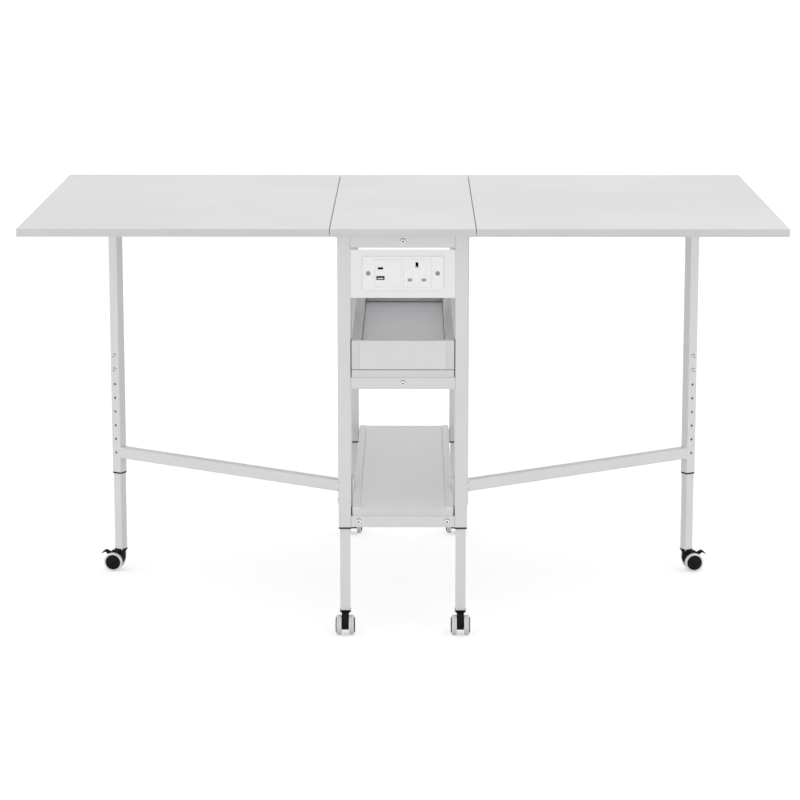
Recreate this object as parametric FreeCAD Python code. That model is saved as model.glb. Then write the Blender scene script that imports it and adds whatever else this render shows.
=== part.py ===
import FreeCAD, Part
import math
import os

os.makedirs("parts", exist_ok=True)
V = FreeCAD.Vector

# A folding cutting table: a narrow cabinet frame under the centre board, two leaves hinged to
# that board, and two gate legs that swing out under the leaves. Millimetres, +Z up, the front
# of the table towards -Y, the origin on the floor under the centre of the top.

# Top
table_length = 1500.0
table_depth = 900.0
table_height = 820.0
board_thickness = 15.0
centre_width = 284.0
seam_gap = 1.2
board_edge_radius = 0.6

# Posts and rails of the cabinet frame
post_size = 25.0
post_wall = 1.5
post_x = 115.0
post_inset = 26.0
post_bottom = 219.5
tube_corner = 2.0
tight_corner = 0.3
rail_depth = 25.0
rail_height = 23.5
rail_wall = 1.5
apron_height = 25.0
middle_rail_top = 522.5

# Telescopic legs
leg_size = 20.0
leg_wall = 1.5
leg_corner = 1.0
leg_bottom = 46.3
leg_top = 500.0
leg_plug_cap = 4.0
leg_rim_height = 2.4
leg_rim_proud = 0.9
sleeve_flange = 3.2
sleeve_depth = 28.0
sleeve_play = 0.15
lock_pitch = 30.0
lock_count = 8
lock_hole_radius = 2.8
post_lock_first = 273.0
gate_lock_first = 262.5

# Gates
gate_tube = 22.0
gate_wall = 1.0
gate_leg_size = 19.0
gate_leg_top = 488.0
gate_hinge_x = 118.5
gate_hinge_y = -240.3
gate_arm = 593.7
gate_angle = 33.5
gate_lower_bar_bottom = 251.0
gate_upper_bar_height = 20.0
gate_top_clearance = 10.0
gate_end_play = 0.6
glide_gap = 0.3
glide_rim = 2.0
pivot_radius = 5.0
pivot_play = 0.08
pivot_reach = 32.0
pivot_shoulder = 3.0
bracket_plate = 3.0
bracket_length = 46.0
top_bracket_wing = 22.0
bracket_clearance = 0.5
bracket_rise = 7.0

# Leaf hinges
hinge_length = 60.0
hinge_width = 32.0
hinge_plate = 2.0
hinge_knuckle_radius = 3.2
hinge_pin_radius = 1.6
hinge_pin_play = 0.06
hinge_drop = 3.5
hinge_spots = (-330.0, 0.0, 285.0)
hinge_slack = 0.3

# Storage bin and lower tray
cabinet_gap = 1.5
bin_wall_top = 596.0
tray_side_gap = 0.5
tray_end_gap = 10.0
tray_corner_radius = 6.0
tray_strip_width = 14.0
tray_strip_height = 1.5
tray_groove = 1.2

# Power box
box_top_gap = 4.0
box_height = 95.0
box_depth = 70.0
box_recess = 1.0
box_body_height = 79.0
box_sheet = 1.5
plate_width = 157.0
plate_height = 66.5
plate_rise = 49.0
plate_thickness = 4.0
plate_corner = 3.0
plate_screw_x = 67.8
module_gap = 0.15
module_depth = 30.0
module_proud = 0.8
plate_edge_radius = 1.0
plate_screw_radius = 1.7
plate_screw_head = 3.6
plate_screw_length = 12.0
plate_screw_play = 0.1
screw_cross = 1.0
usb_left = -54.8
usb_right = -3.8
usb_height = 54.7
usb_port_inset = 11.0
type_c_rise = 10.8
type_c_width = 10.0
type_c_height = 3.8
type_a_drop = 9.0
type_a_width = 13.4
type_a_height = 6.0
port_depth = 12.0
tongue_side_gap = 1.0
tongue_thickness = 2.2
socket_left = 1.0
socket_right = 56.4
socket_height = 56.9
socket_offset = -1.3
earth_rise = 16.7
earth_width = 5.6
earth_height = 10.6
earth_depth = 16.0
live_spread = 13.6
live_drop = 12.8
live_width = 8.4
live_height = 5.6
shutter_depth = 1.6
gland_radius = 7.0
gland_wall = 3.0
gland_collar = 3.0
gland_collar_length = 5.0
gland_length = 16.0
gland_inset = 4.0

# Fasteners
bolt_head_radius = 5.2
bolt_head_height = 3.0
bolt_hex = 3.4
bolt_shank_radius = 2.6

# Casters
wheel_radius = 20.0
hub_radius = 16.5
wheel_width = 11.2
tread_corner = 1.6
hub_bulge = 1.0
caster_web = 14.0
hood_radius = 24.0
hood_end_x = 10.0
wheel_play = 0.35
caster_trail = 15.0
caster_flange_radius = 11.6
caster_flange_height = 3.0
caster_gap = 0.3
stem_radius = 5.5
stem_length = 28.0
axle_radius = 2.5
running_play = 0.06
gate_caster_turn = 8.0
lever_pivot_x = 19.0
lever_pivot_z = 37.0
lever_width = 8.0
lever_thickness = 3.0
lever_pin_radius = 1.5

# Levels and faces worked out from the sizes above
top_underside = table_height - board_thickness
post_y = table_depth / 2 - post_inset - post_size / 2
front_y = -(post_y + post_size / 2)
inner_x = post_x - post_size / 2
inner_y = post_y - rail_depth / 2
middle_rail_bottom = middle_rail_top - rail_height
bottom_rail_top = post_bottom + rail_height
cabinet_half = inner_x - cabinet_gap
gate_tube_reach = gate_tube / math.sqrt(2) - tube_corner * (math.sqrt(2) - 1)
lower_rail_x = gate_hinge_x - gate_tube_reach - bracket_clearance - bracket_plate - rail_depth / 2
tray_half = lower_rail_x + rail_depth / 2 - tray_side_gap
leaf_inner_x = centre_width / 2 + seam_gap
seam_x = centre_width / 2 + seam_gap / 2
hinge_z = top_underside - hinge_drop
gate_top = top_underside - gate_top_clearance
gate_bottom = post_bottom + bracket_plate + gate_end_play
gate_lower_bar_top = gate_lower_bar_bottom + rail_height
gate_leg_x = gate_hinge_x + gate_arm * math.cos(math.radians(gate_angle))
gate_leg_y = gate_hinge_y + gate_arm * math.sin(math.radians(gate_angle))
box_top = top_underside - apron_height - box_top_gap
box_bottom = box_top - box_height
box_front = front_y + box_recess
plate_z = box_bottom + plate_rise
plate_front = box_front - plate_thickness


def rounded_box(low, high, axis, radius):
    """A box between two corners, with the edges along one axis rounded."""
    size = high - low
    block = Part.makeBox(size.x, size.y, size.z, low)
    if radius <= 0:
        return block
    edges = [e for e in block.Edges if abs(e.tangentAt(e.FirstParameter).dot(axis)) > 0.9]
    return block.makeFillet(radius, edges)


def tube(low, high, axis, wall, corner):
    """A rectangular tube along one axis, open at both ends."""
    outer = rounded_box(low, high, axis, corner)
    cross = V(wall, wall, wall) - axis * wall
    inner = rounded_box(low + cross - axis, high - cross + axis, axis, max(corner - wall, tight_corner))
    return outer.cut(inner)


def post_tube(x, y, size, wall, corner, bottom, top):
    """A square tube that stands upright around the point x, y."""
    half = size / 2
    return tube(V(x - half, y - half, bottom), V(x + half, y + half, top), V(0, 0, 1), wall, corner)


def rod(start, direction, radius, length):
    """A round rod from a start point."""
    return Part.makeCylinder(radius, length, start, direction)


def board(low, high):
    """A board with every edge slightly eased."""
    block = Part.makeBox(high.x - low.x, high.y - low.y, high.z - low.z, low)
    return block.makeFillet(board_edge_radius, block.Edges)


def mirrored(shape):
    """The same piece on the other side of the table."""
    return shape.mirror(V(0, 0, 0), V(1, 0, 0))


def group(shapes):
    """Several separate solids kept in one node."""
    solids = []
    for shape in shapes:
        solids += shape.Solids
    return Part.makeCompound(solids)


def profile_solid(points, y_low, y_high):
    """An outline of straight runs in the XZ plane, as a plate between two Y values."""
    loop = [V(x, y_low, z) for x, z in points]
    face = Part.Face(Part.makePolygon(loop + loop[:1]))
    return face.extrude(V(0, y_high - y_low, 0))


def button_bolt(point, outward, grip):
    """A button-head bolt: its head stands on the surface at a point, its shank goes in by grip."""
    head = rod(point, outward, bolt_head_radius, bolt_head_height)
    rim = [e for e in head.Edges if len(e.Vertexes) == 1
           and (e.CenterOfMass - point).dot(outward) > bolt_head_height / 2]
    head = head.makeFillet(bolt_head_height * 0.6, rim)
    socket_start = point + outward * (bolt_head_height * 0.4)
    socket = rod(socket_start, outward, bolt_hex / 2, bolt_head_height)
    return head.cut(socket).fuse(rod(point - outward * grip, outward, bolt_shank_radius, grip))


# Top boards


def centre_top():
    half = centre_width / 2
    return board(V(-half, -table_depth / 2, top_underside), V(half, table_depth / 2, table_height))


def leaf_board():
    return board(
        V(leaf_inner_x, -table_depth / 2, top_underside),
        V(table_length / 2, table_depth / 2, table_height),
    )


# Leaf hinges: a fixed flap under the centre board and a moving flap under the leaf


def hinge_flap(y, inward, knuckles):
    """One flap at y, on the centre side or the leaf side, with its share of the knuckles."""
    gap = hinge_knuckle_radius + hinge_slack
    edge = seam_x - gap if inward else seam_x + gap
    far = seam_x - hinge_width if inward else seam_x + hinge_width
    low_z = top_underside - hinge_plate
    half = hinge_length / 2
    flap = Part.makeBox(abs(far - edge), hinge_length, hinge_plate, V(min(edge, far), y - half, low_z))
    for start, end in knuckles:
        barrel = rod(V(seam_x, y + start, hinge_z), V(0, 1, 0), hinge_knuckle_radius, end - start)
        lug_x = edge if inward else seam_x
        lug = Part.makeBox(gap, end - start, hinge_plate, V(lug_x, y + start, low_z))
        flap = flap.fuse(barrel).fuse(lug)
    bore_radius = hinge_pin_radius + hinge_pin_play
    bore = rod(V(seam_x, y - hinge_length, hinge_z), V(0, 1, 0), bore_radius, 2 * hinge_length)
    return flap.cut(bore).removeSplitter()


def hinge_knuckles(fixed):
    """Outer two knuckles on the fixed flap, the middle one on the moving flap."""
    half = hinge_length / 2
    third = hinge_length / 6
    if fixed:
        return ((-half, -third - hinge_slack), (third + hinge_slack, half))
    return ((-third, third),)


def centre_hinge_flaps():
    """The fixed flaps, with the pins that stay in them."""
    half = hinge_length / 2
    right = [hinge_flap(y, True, hinge_knuckles(True)) for y in hinge_spots]
    right += [rod(V(seam_x, y - half, hinge_z), V(0, 1, 0), hinge_pin_radius, hinge_length)
              for y in hinge_spots]
    return group(right + [mirrored(s) for s in right])


def leaf_hinge_flaps():
    return group([hinge_flap(y, False, hinge_knuckles(False)) for y in hinge_spots])


# Cabinet frame


def ladder_frame(side):
    """One welded end frame: two posts and three cross rails. side is -1 at the front, 1 behind."""
    y = side * post_y
    posts = []
    for x in (-post_x, post_x):
        post = post_tube(x, y, post_size, post_wall, tube_corner, post_bottom, top_underside)
        outward = V(math.copysign(1, x), 0, 0)
        for z in (post_lock_first, post_lock_first + lock_pitch):
            hole = rod(V(x, y, z), outward, lock_hole_radius, post_size)
            post = post.cut(hole)
        posts.append(post)
    rails = []
    for bottom, top in (
        (post_bottom, bottom_rail_top),
        (middle_rail_bottom, middle_rail_top),
        (top_underside - apron_height, top_underside),
    ):
        low = V(-inner_x, y - rail_depth / 2, bottom)
        high = V(inner_x, y + rail_depth / 2, top)
        rails.append(tube(low, high, V(1, 0, 0), rail_wall, tube_corner))
    frame = group(posts + rails)
    cuts = [rod(V(x, side * (post_y + rail_depth), z), V(0, -side, 0), bolt_shank_radius, rail_depth * 2)
            for x, z in bolt_places()]
    return group([s.cut(Part.makeCompound(cuts)) for s in frame.Solids])


def bolt_places():
    """Where the bolts that hold the long rails go through the cross rails."""
    low_z = (post_bottom + bottom_rail_top) / 2
    return (
        (0.0, top_underside - apron_height / 2),
        (0.0, (middle_rail_bottom + middle_rail_top) / 2),
        (-lower_rail_x, low_z),
        (lower_rail_x, low_z),
    )


def long_rail(x, bottom, top):
    """A rail from the front frame to the back frame."""
    low = V(x - rail_depth / 2, -inner_y, bottom)
    high = V(x + rail_depth / 2, inner_y, top)
    return tube(low, high, V(0, 1, 0), rail_wall, tube_corner)


def top_long_rail():
    return long_rail(0.0, top_underside - apron_height, top_underside)


def middle_long_rail():
    return long_rail(0.0, middle_rail_bottom, middle_rail_top)


def lower_long_rails():
    return group([long_rail(x, post_bottom, bottom_rail_top) for x in (-lower_rail_x, lower_rail_x)])


def frame_bolts():
    bolts = []
    for side in (-1, 1):
        for x, z in bolt_places():
            face = V(x, side * (post_y + rail_depth / 2), z)
            bolts.append(button_bolt(face, V(0, side, 0), rail_depth))
    return group(bolts)


def top_brackets():
    """Four angle brackets that hold the centre board to the cross rails."""
    brackets = []
    wing = top_bracket_wing
    for side in (-1, 1):
        for x in (-inner_x * 0.6, inner_x * 0.6):
            face = side * inner_y
            left = x - wing / 2
            flat_y = min(face, face - side * wing)
            flat = Part.makeBox(wing, wing, hinge_plate, V(left, flat_y, top_underside - hinge_plate))
            upright_y = min(face, face - side * hinge_plate)
            upright = Part.makeBox(wing, hinge_plate, wing, V(left, upright_y, top_underside - wing))
            brackets.append(flat.fuse(upright).removeSplitter())
    return group(brackets)


# Telescopic legs


def sleeve(x, y, size, wall, inner_size):
    """A plastic bush in the open end of an outer tube, with a rim under the tube."""
    half = size / 2
    play = inner_size / 2 + sleeve_play
    axis = V(0, 0, 1)
    rim_low = post_bottom - sleeve_flange
    rim = rounded_box(V(-half, -half, rim_low), V(half, half, post_bottom), axis, tube_corner)
    plug_half = half - wall
    plug_corner = max(tube_corner - wall, tight_corner)
    plug_high = V(plug_half, plug_half, post_bottom + sleeve_depth)
    plug = rounded_box(V(-plug_half, -plug_half, post_bottom), plug_high, axis, plug_corner)
    bore = Part.makeBox(2 * play, 2 * play, 3 * sleeve_depth, V(-play, -play, rim_low - sleeve_depth))
    bush = rim.fuse(plug).cut(bore)
    bush.translate(V(x, y, 0))
    return bush


def post_sleeves():
    return group([sleeve(x, y, post_size, post_wall, leg_size)
                  for y in (-post_y, post_y) for x in (-post_x, post_x)])


def lock_screw(point, outward, wall):
    """A lock screw: a button head on the outer tube, its shank ending in the tube's wall."""
    return button_bolt(point, outward, wall)


def post_lock_screws():
    screws = []
    for y in (-post_y, post_y):
        for side in (-1, 1):
            for z in (post_lock_first, post_lock_first + lock_pitch):
                face = V(side * (post_x + post_size / 2), y, z)
                screws.append(lock_screw(face, V(side, 0, 0), post_wall))
    return group(screws)


def inner_leg(size, top, holes):
    """An inner leg tube around the origin, with the end plug that the caster stem turns in."""
    tube_low = leg_bottom + leg_rim_height
    tube_part = post_tube(0, 0, size, leg_wall, leg_corner, tube_low, top)
    for z, direction in holes:
        tube_part = tube_part.cut(rod(V(0, 0, z), direction, lock_hole_radius, size))
    half = size / 2 - leg_wall
    plug_top = leg_bottom + stem_length + leg_plug_cap
    plug = rounded_box(V(-half, -half, leg_bottom), V(half, half, plug_top), V(0, 0, 1), tight_corner)
    wide = size / 2 + leg_rim_proud
    rim = rounded_box(V(-wide, -wide, leg_bottom), V(wide, wide, tube_low), V(0, 0, 1), leg_corner)
    bore = rod(V(0, 0, leg_bottom - 1), V(0, 0, 1), stem_radius + running_play, stem_length + 1)
    return group([tube_part, plug.fuse(rim).cut(bore)])


def post_leg(side_x, y):
    """The inner leg of one cabinet post, with its row of lock holes facing outwards."""
    outward = V(side_x, 0, 0)
    holes = [(post_lock_first + lock_pitch * i, outward) for i in range(lock_count)]
    leg = inner_leg(leg_size, leg_top, holes)
    leg.translate(V(side_x * post_x, y, 0))
    return leg


def gate_leg():
    """The inner leg of the right gate, with its row of lock holes facing the front."""
    holes = [(gate_lock_first + lock_pitch * i, V(0, -1, 0)) for i in range(lock_count)]
    return placed_on_gate(inner_leg(gate_leg_size, gate_leg_top, holes), gate_arm)


# Gates. Each is drawn along +X from its hinge at the origin, then turned and moved into place.


def placed_on_gate(shape, along=0.0):
    """Move a piece out along the arm, then turn the arm to its open angle."""
    moved = shape.copy()
    moved.translate(V(along, 0, 0))
    moved.rotate(V(0, 0, 0), V(0, 0, 1), gate_angle)
    moved.translate(V(gate_hinge_x, gate_hinge_y, 0))
    return moved


def gate_frame():
    """The right gate's welded frame: hinge tube, leg tube and two bars."""
    half = gate_tube / 2
    hinge_tube = post_tube(0, 0, gate_tube, gate_wall, tube_corner, gate_bottom, gate_top)
    leg_tube = post_tube(gate_arm, 0, gate_tube, gate_wall, tube_corner, post_bottom, gate_top)
    for i in range(lock_count):
        z = gate_lock_first + lock_pitch * i
        leg_tube = leg_tube.cut(rod(V(gate_arm, 0, z), V(0, -1, 0), lock_hole_radius, gate_tube))
    bars = []
    for bottom, top in (
        (gate_lower_bar_bottom, gate_lower_bar_top),
        (gate_top - gate_upper_bar_height, gate_top),
    ):
        low = V(half, -half, bottom)
        high = V(gate_arm - half, half, top)
        bars.append(tube(low, high, V(1, 0, 0), gate_wall, tube_corner))
    return placed_on_gate(group([hinge_tube, leg_tube] + bars))


def gate_bushes():
    """Square plastic bushes in both ends of the right gate's hinge tube."""
    half = gate_tube / 2 - gate_wall
    corner = max(tube_corner - gate_wall, tight_corner)
    axis = V(0, 0, 1)
    bushes = []
    for low in (gate_bottom, gate_top - pivot_reach):
        bush = rounded_box(V(-half, -half, low), V(half, half, low + pivot_reach), axis, corner)
        bore = rod(V(0, 0, low - 1), axis, pivot_radius + pivot_play, pivot_reach + 2)
        bushes.append(bush.cut(bore))
    return placed_on_gate(group(bushes))


def gate_sleeve():
    return placed_on_gate(sleeve(0, 0, gate_tube, gate_wall, gate_leg_size), gate_arm)


def gate_glide():
    """The plastic glide on top of the right gate's leg tube, which carries the leaf."""
    half = gate_tube / 2 + glide_rim
    top = top_underside - glide_gap
    cap = rounded_box(V(-half, -half, gate_top), V(half, half, top), V(0, 0, 1), tube_corner + glide_rim)
    plug_half = gate_tube / 2 - gate_wall
    plug_low = V(-plug_half, -plug_half, gate_top - pivot_reach / 2)
    plug_corner = max(tube_corner - gate_wall, tight_corner)
    plug = rounded_box(plug_low, V(plug_half, plug_half, gate_top), V(0, 0, 1), plug_corner)
    return placed_on_gate(cap.fuse(plug), gate_arm)


def gate_lock_screws():
    last = gate_lock_first + lock_pitch * (lock_count - 1)
    screws = [lock_screw(V(0, -gate_tube / 2, z), V(0, -1, 0), gate_wall)
              for z in (last - lock_pitch, last)]
    return placed_on_gate(group(screws), gate_arm)


def gate_brackets():
    """Pivot brackets: an angle on each lower rail, and a plate under the centre board."""
    x = gate_hinge_x
    y = gate_hinge_y
    rail_face = lower_rail_x + rail_depth / 2
    half = bracket_length / 2
    reach = x + gate_tube / 2
    upright_height = gate_lower_bar_top + bracket_rise - post_bottom
    foot = V(rail_face, y - half, post_bottom)
    upright = Part.makeBox(bracket_plate, bracket_length, upright_height, foot)
    ear = Part.makeBox(reach - rail_face, bracket_length, bracket_plate, foot)
    low_pin = rod(V(x, y, post_bottom), V(0, 0, 1), pivot_radius, pivot_reach)
    lower = upright.fuse(ear).fuse(low_pin).removeSplitter()
    plate_low = top_underside - bracket_plate
    plate_corner_point = V(reach - bracket_length, y - half, plate_low)
    plate = Part.makeBox(bracket_length, bracket_length, bracket_plate, plate_corner_point)
    shoulder_low = gate_top + gate_end_play
    shoulder_height = plate_low - shoulder_low
    shoulder = rod(V(x, y, shoulder_low), V(0, 0, 1), pivot_radius + pivot_shoulder, shoulder_height)
    pin_low = gate_top - pivot_reach
    high_pin = rod(V(x, y, pin_low), V(0, 0, 1), pivot_radius, plate_low - pin_low + bracket_plate / 2)
    upper = plate.fuse(shoulder).fuse(high_pin).removeSplitter()
    return group([lower, upper, mirrored(lower), mirrored(upper)])


# Storage bin and lower tray


def bin_board(x_low, x_high, y_low, y_high, z_low, z_high):
    return board(V(x_low, y_low, z_low), V(x_high, y_high, z_high))


def bin_base():
    floor = middle_rail_top + board_thickness
    return bin_board(-cabinet_half, cabinet_half, front_y, -front_y, middle_rail_top, floor)


def bin_side():
    """The right side board of the bin. The end boards fit between the sides."""
    floor = middle_rail_top + board_thickness
    return bin_board(cabinet_half - board_thickness, cabinet_half, front_y, -front_y, floor, bin_wall_top)


def bin_end(side):
    """The front or back board of the bin."""
    floor = middle_rail_top + board_thickness
    half = cabinet_half - board_thickness
    outer = side * -front_y
    inner = outer - side * board_thickness
    return bin_board(-half, half, min(outer, inner), max(outer, inner), floor, bin_wall_top)


def tray_outline(half, z_low, z_high):
    """A slab of the tray's plan: square at the front, with rounded corners at the back."""
    back = inner_y - tray_end_gap
    slab = Part.makeBox(2 * half, back - front_y, z_high - z_low, V(-half, front_y, z_low))
    corners = [e for e in slab.Edges if abs(e.tangentAt(e.FirstParameter).z) > 0.9 and e.CenterOfMass.y > 0]
    return slab.makeFillet(tray_corner_radius, corners)


def tray_board():
    top = bottom_rail_top + board_thickness
    slab = tray_outline(tray_half, bottom_rail_top, top)
    for side in (-1, 1):
        edge = side * (tray_half - tray_strip_width)
        low_x = min(edge, edge - side * tray_groove)
        groove_start = V(low_x, -table_depth, top - tray_groove)
        slab = slab.cut(Part.makeBox(tray_groove, 2 * table_depth, tray_groove, groove_start))
    return slab


def tray_strips():
    """The two low edge strips on the tray."""
    low = bottom_rail_top + board_thickness
    slab = tray_outline(tray_half, low, low + tray_strip_height)
    inner = tray_half - tray_strip_width
    middle_start = V(-inner, -table_depth, low - tray_strip_height)
    middle = Part.makeBox(2 * inner, 2 * table_depth, 3 * tray_strip_height, middle_start)
    return group([slab.cut(middle)])


# Power box


def power_box():
    """A folded sheet box between the front posts, its front sheet standing up above its body."""
    low = V(-inner_x, box_front, box_bottom)
    width = 2 * inner_x
    sheet = box_sheet
    shell = Part.makeBox(width, box_depth, box_body_height, low)
    hollow = Part.makeBox(width - 2 * sheet, box_depth, box_body_height - 2 * sheet,
                          low + V(sheet, sheet, sheet))
    front = Part.makeBox(width, sheet, box_height, low)
    window = Part.makeBox(socket_right - usb_left, sheet * 4, usb_height,
                          V(usb_left, box_front - sheet, plate_z - usb_height / 2))
    return shell.cut(hollow).fuse(front).removeSplitter().cut(window).cut(plate_screw_holes())


def plate_screw_holes():
    radius = plate_screw_radius + plate_screw_play
    holes = [rod(V(x, box_front - 2 * plate_thickness, plate_z), V(0, 1, 0), radius, 4 * plate_thickness)
             for x in (-plate_screw_x, plate_screw_x)]
    return Part.makeCompound(holes)


def power_box_cover():
    """The plate that closes the back of the box."""
    back = box_front + box_depth
    plate = Part.makeBox(2 * inner_x, box_sheet, box_body_height, V(-inner_x, back, box_bottom))
    return plate.cut(rod(V(0, back - box_sheet, plate_z), V(0, 1, 0), gland_radius, 3 * box_sheet))


def cable_gland():
    """The inlet for the supply lead, screwed into the cover."""
    back = box_front + box_depth
    axis = V(0, 1, 0)
    body = rod(V(0, back - gland_inset, plate_z), axis, gland_radius, gland_length + gland_inset)
    collar_start = V(0, back + box_sheet, plate_z)
    collar = rod(collar_start, axis, gland_radius + gland_collar, gland_collar_length)
    bore_start = V(0, back - gland_length, plate_z)
    bore = rod(bore_start, axis, gland_radius - gland_wall, 3 * gland_length)
    return body.fuse(collar).cut(bore)


def face_plate():
    low = V(-plate_width / 2, plate_front, plate_z - plate_height / 2)
    high = V(plate_width / 2, box_front, plate_z + plate_height / 2)
    plate = rounded_box(low, high, V(0, 1, 0), plate_corner)
    rim = [e for e in plate.Edges if abs(e.CenterOfMass.y - plate_front) < 0.01]
    plate = plate.makeFillet(plate_edge_radius, rim)
    for left, right, height in (
        (usb_left, usb_right, usb_height),
        (socket_left, socket_right, socket_height),
    ):
        window = Part.makeBox(right - left, 3 * plate_thickness, height,
                              V(left, plate_front - plate_thickness, plate_z - height / 2))
        plate = plate.cut(window)
    return plate.cut(plate_screw_holes())


def module_block(left, right, height):
    """The body of a module that snaps into a window of the face plate, flush with the box behind."""
    front = plate_front - module_proud
    width = right - left - 2 * module_gap
    tall = height - 2 * module_gap
    deep = min(height, usb_height) - 2 * module_gap
    face_start = V(left + module_gap, front, plate_z - tall / 2)
    face = Part.makeBox(width, plate_thickness + module_proud, tall, face_start)
    body_start = V(left + module_gap, box_front, plate_z - deep / 2)
    body = Part.makeBox(width, module_depth - plate_thickness, deep, body_start)
    return face.fuse(body).removeSplitter()


def slot(x, z, width, height, depth):
    """A square-ended hole into the front of a module."""
    front = plate_front - module_proud
    return Part.makeBox(width, depth + 1, height, V(x - width / 2, front - 1, z - height / 2))


def usb_module():
    """A module with a rounded USB-C port above a USB-A port with its tongue."""
    x = usb_left + usb_port_inset
    front = plate_front - module_proud
    block = module_block(usb_left, usb_right, usb_height)
    half = type_c_width / 2
    low = V(x - half, front - 1, plate_z + type_c_rise - type_c_height / 2)
    high = V(x + half, front + port_depth, plate_z + type_c_rise + type_c_height / 2)
    pill = rounded_box(low, high, V(0, 1, 0), type_c_height * 0.48)
    type_a_z = plate_z - type_a_drop
    block = block.cut(pill).cut(slot(x, type_a_z, type_a_width, type_a_height, port_depth))
    tongue_width = type_a_width - 2 * tongue_side_gap
    tongue_start = V(x - tongue_width / 2, front + module_proud, type_a_z - type_a_height * 0.3)
    tongue = Part.makeBox(tongue_width, port_depth, tongue_thickness, tongue_start)
    return block.fuse(tongue)


def socket_module():
    """A 13 A socket: an open earth slot above two shuttered slots."""
    centre = (socket_left + socket_right) / 2 + socket_offset
    block = module_block(socket_left, socket_right, socket_height)
    block = block.cut(slot(centre, plate_z + earth_rise, earth_width, earth_height, earth_depth))
    for side in (-1, 1):
        x = centre + side * live_spread
        block = block.cut(slot(x, plate_z - live_drop, live_width, live_height, shutter_depth))
    return block


def plate_screws():
    screws = []
    for x in (-plate_screw_x, plate_screw_x):
        face = V(x, plate_front, plate_z)
        head = rod(face, V(0, -1, 0), plate_screw_head, screw_cross)
        shank = rod(face, V(0, 1, 0), plate_screw_radius, plate_screw_length)
        drive_start = face - V(screw_cross / 2, screw_cross * 1.5, plate_screw_head * 0.6)
        drive = Part.makeBox(screw_cross, screw_cross, plate_screw_head * 1.2, drive_start)
        screws.append(head.fuse(shank).cut(drive))
    return group(screws)


# Casters. Each is drawn around its stem at the origin, with its wheels trailing towards +X.


def caster_outline():
    """The web between the wheels, in the plane across the axle, with a hood over the wheels."""
    x = caster_trail
    z = wheel_radius
    flange_low = leg_bottom - caster_gap - caster_flange_height
    back = -caster_flange_radius * 0.75
    hood = [(x - 2, z + hood_radius), (x + 2, z + hood_radius - 0.3), (x + 5, z + hood_radius - 1.5)]
    nose = [(x + 8, z + 20), (x + hood_end_x, z + 16.5), (x + 12, z + 11), (x + 12.6, z + 4), (x + 11, z - 3)]
    foot = [(x + 7, z - 8), (x, z - 10), (x - 9, z - 8.5), (-2, z - 4)]
    heel = [(back + 0.9, z + 2), (back - 0.4, z + 10), (back, flange_low)]
    return hood + nose + foot + heel


def caster_body(with_lever):
    """The caster's body: stem, flange and web in one moulding, with the lever's pin if it has one."""
    top = leg_bottom - caster_gap
    flange_low = top - caster_flange_height
    flange = rod(V(0, 0, flange_low), V(0, 0, 1), caster_flange_radius, caster_flange_height)
    stem = rod(V(0, 0, top - 1), V(0, 0, 1), stem_radius, stem_length)
    half = caster_web / 2
    web = profile_solid(caster_outline(), -half, half)
    bore_start = V(caster_trail, -caster_web, wheel_radius)
    axle_bore = rod(bore_start, V(0, 1, 0), axle_radius + running_play, 2 * caster_web)
    body = flange.fuse(web).fuse(stem).cut(axle_bore)
    if not with_lever:
        return body
    room = lever_width / 2 + hinge_slack
    root_room = lever_thickness + hinge_slack
    pocket_start = V(lever_pivot_x - root_room, -room, lever_pivot_z - root_room)
    pocket = Part.makeBox(2 * wheel_radius, 2 * room, 2 * wheel_radius, pocket_start)
    pin = rod(V(lever_pivot_x, -half, lever_pivot_z), V(0, 1, 0), lever_pin_radius, caster_web)
    return body.cut(pocket).removeSplitter().fuse(pin)


def caster_wheels():
    """A pair of wheels fixed on their axle."""
    inner = caster_web / 2 + wheel_play
    wheels = rod(V(caster_trail, -inner, wheel_radius), V(0, 1, 0), axle_radius, 2 * inner)
    for side in (-1, 1):
        wheel = rod(V(caster_trail, side * inner, wheel_radius), V(0, side, 0), wheel_radius, wheel_width)
        rims = [e for e in wheel.Edges if len(e.Vertexes) == 1]
        wheel = wheel.makeFillet(tread_corner, rims)
        hub_start = V(caster_trail, side * (inner + wheel_width), wheel_radius)
        cone = Part.makeCone(hub_radius, hub_radius - 2 * hub_bulge, hub_bulge, hub_start, V(0, side, 0))
        wheels = wheels.fuse(wheel).fuse(cone)
    return wheels


def brake_lever():
    """A toe lever that arches out over the wheels from its pin in the caster body."""
    x = lever_pivot_x
    z = lever_pivot_z
    axis = V(0, 1, 0)
    root = rod(V(x, -lever_width / 2, z), axis, lever_thickness, lever_width)
    toe_top = [(x + 12.5, z + 8), (x + 18, z + 6.6), (x + 23.5, z + 0.6)]
    toe_under = [(x + 22, z - 0.6), (x + 18, z + 2), (x + 13.4, z + 1.4)]
    arm_top = [(x - 1, z + lever_thickness - 0.2), (x + 7, z + 6.4)]
    arm_under = [(x + 12.4, z - 2.2), (x + 9, z - 1), (x + 2, z - lever_thickness + 0.4)]
    arm = profile_solid(arm_top + toe_top + toe_under + arm_under, -lever_width / 2, lever_width / 2)
    pedal_under = [(x + 22, z - 0.6), (x + 17, z + 3.2), (x + 12.5, z + 4.4)]
    toe = profile_solid(toe_top + pedal_under, -lever_width, lever_width)
    bore = rod(V(x, -2 * lever_width, z), axis, lever_pin_radius + running_play, 4 * lever_width)
    return root.fuse(arm).fuse(toe).cut(bore).removeSplitter()


def at_caster(shape, x, y, turn):
    """Turn a caster piece about its stem and move it under its leg."""
    moved = shape.copy()
    moved.rotate(V(0, 0, 0), V(0, 0, 1), turn)
    moved.translate(V(x, y, 0))
    return moved


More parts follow.
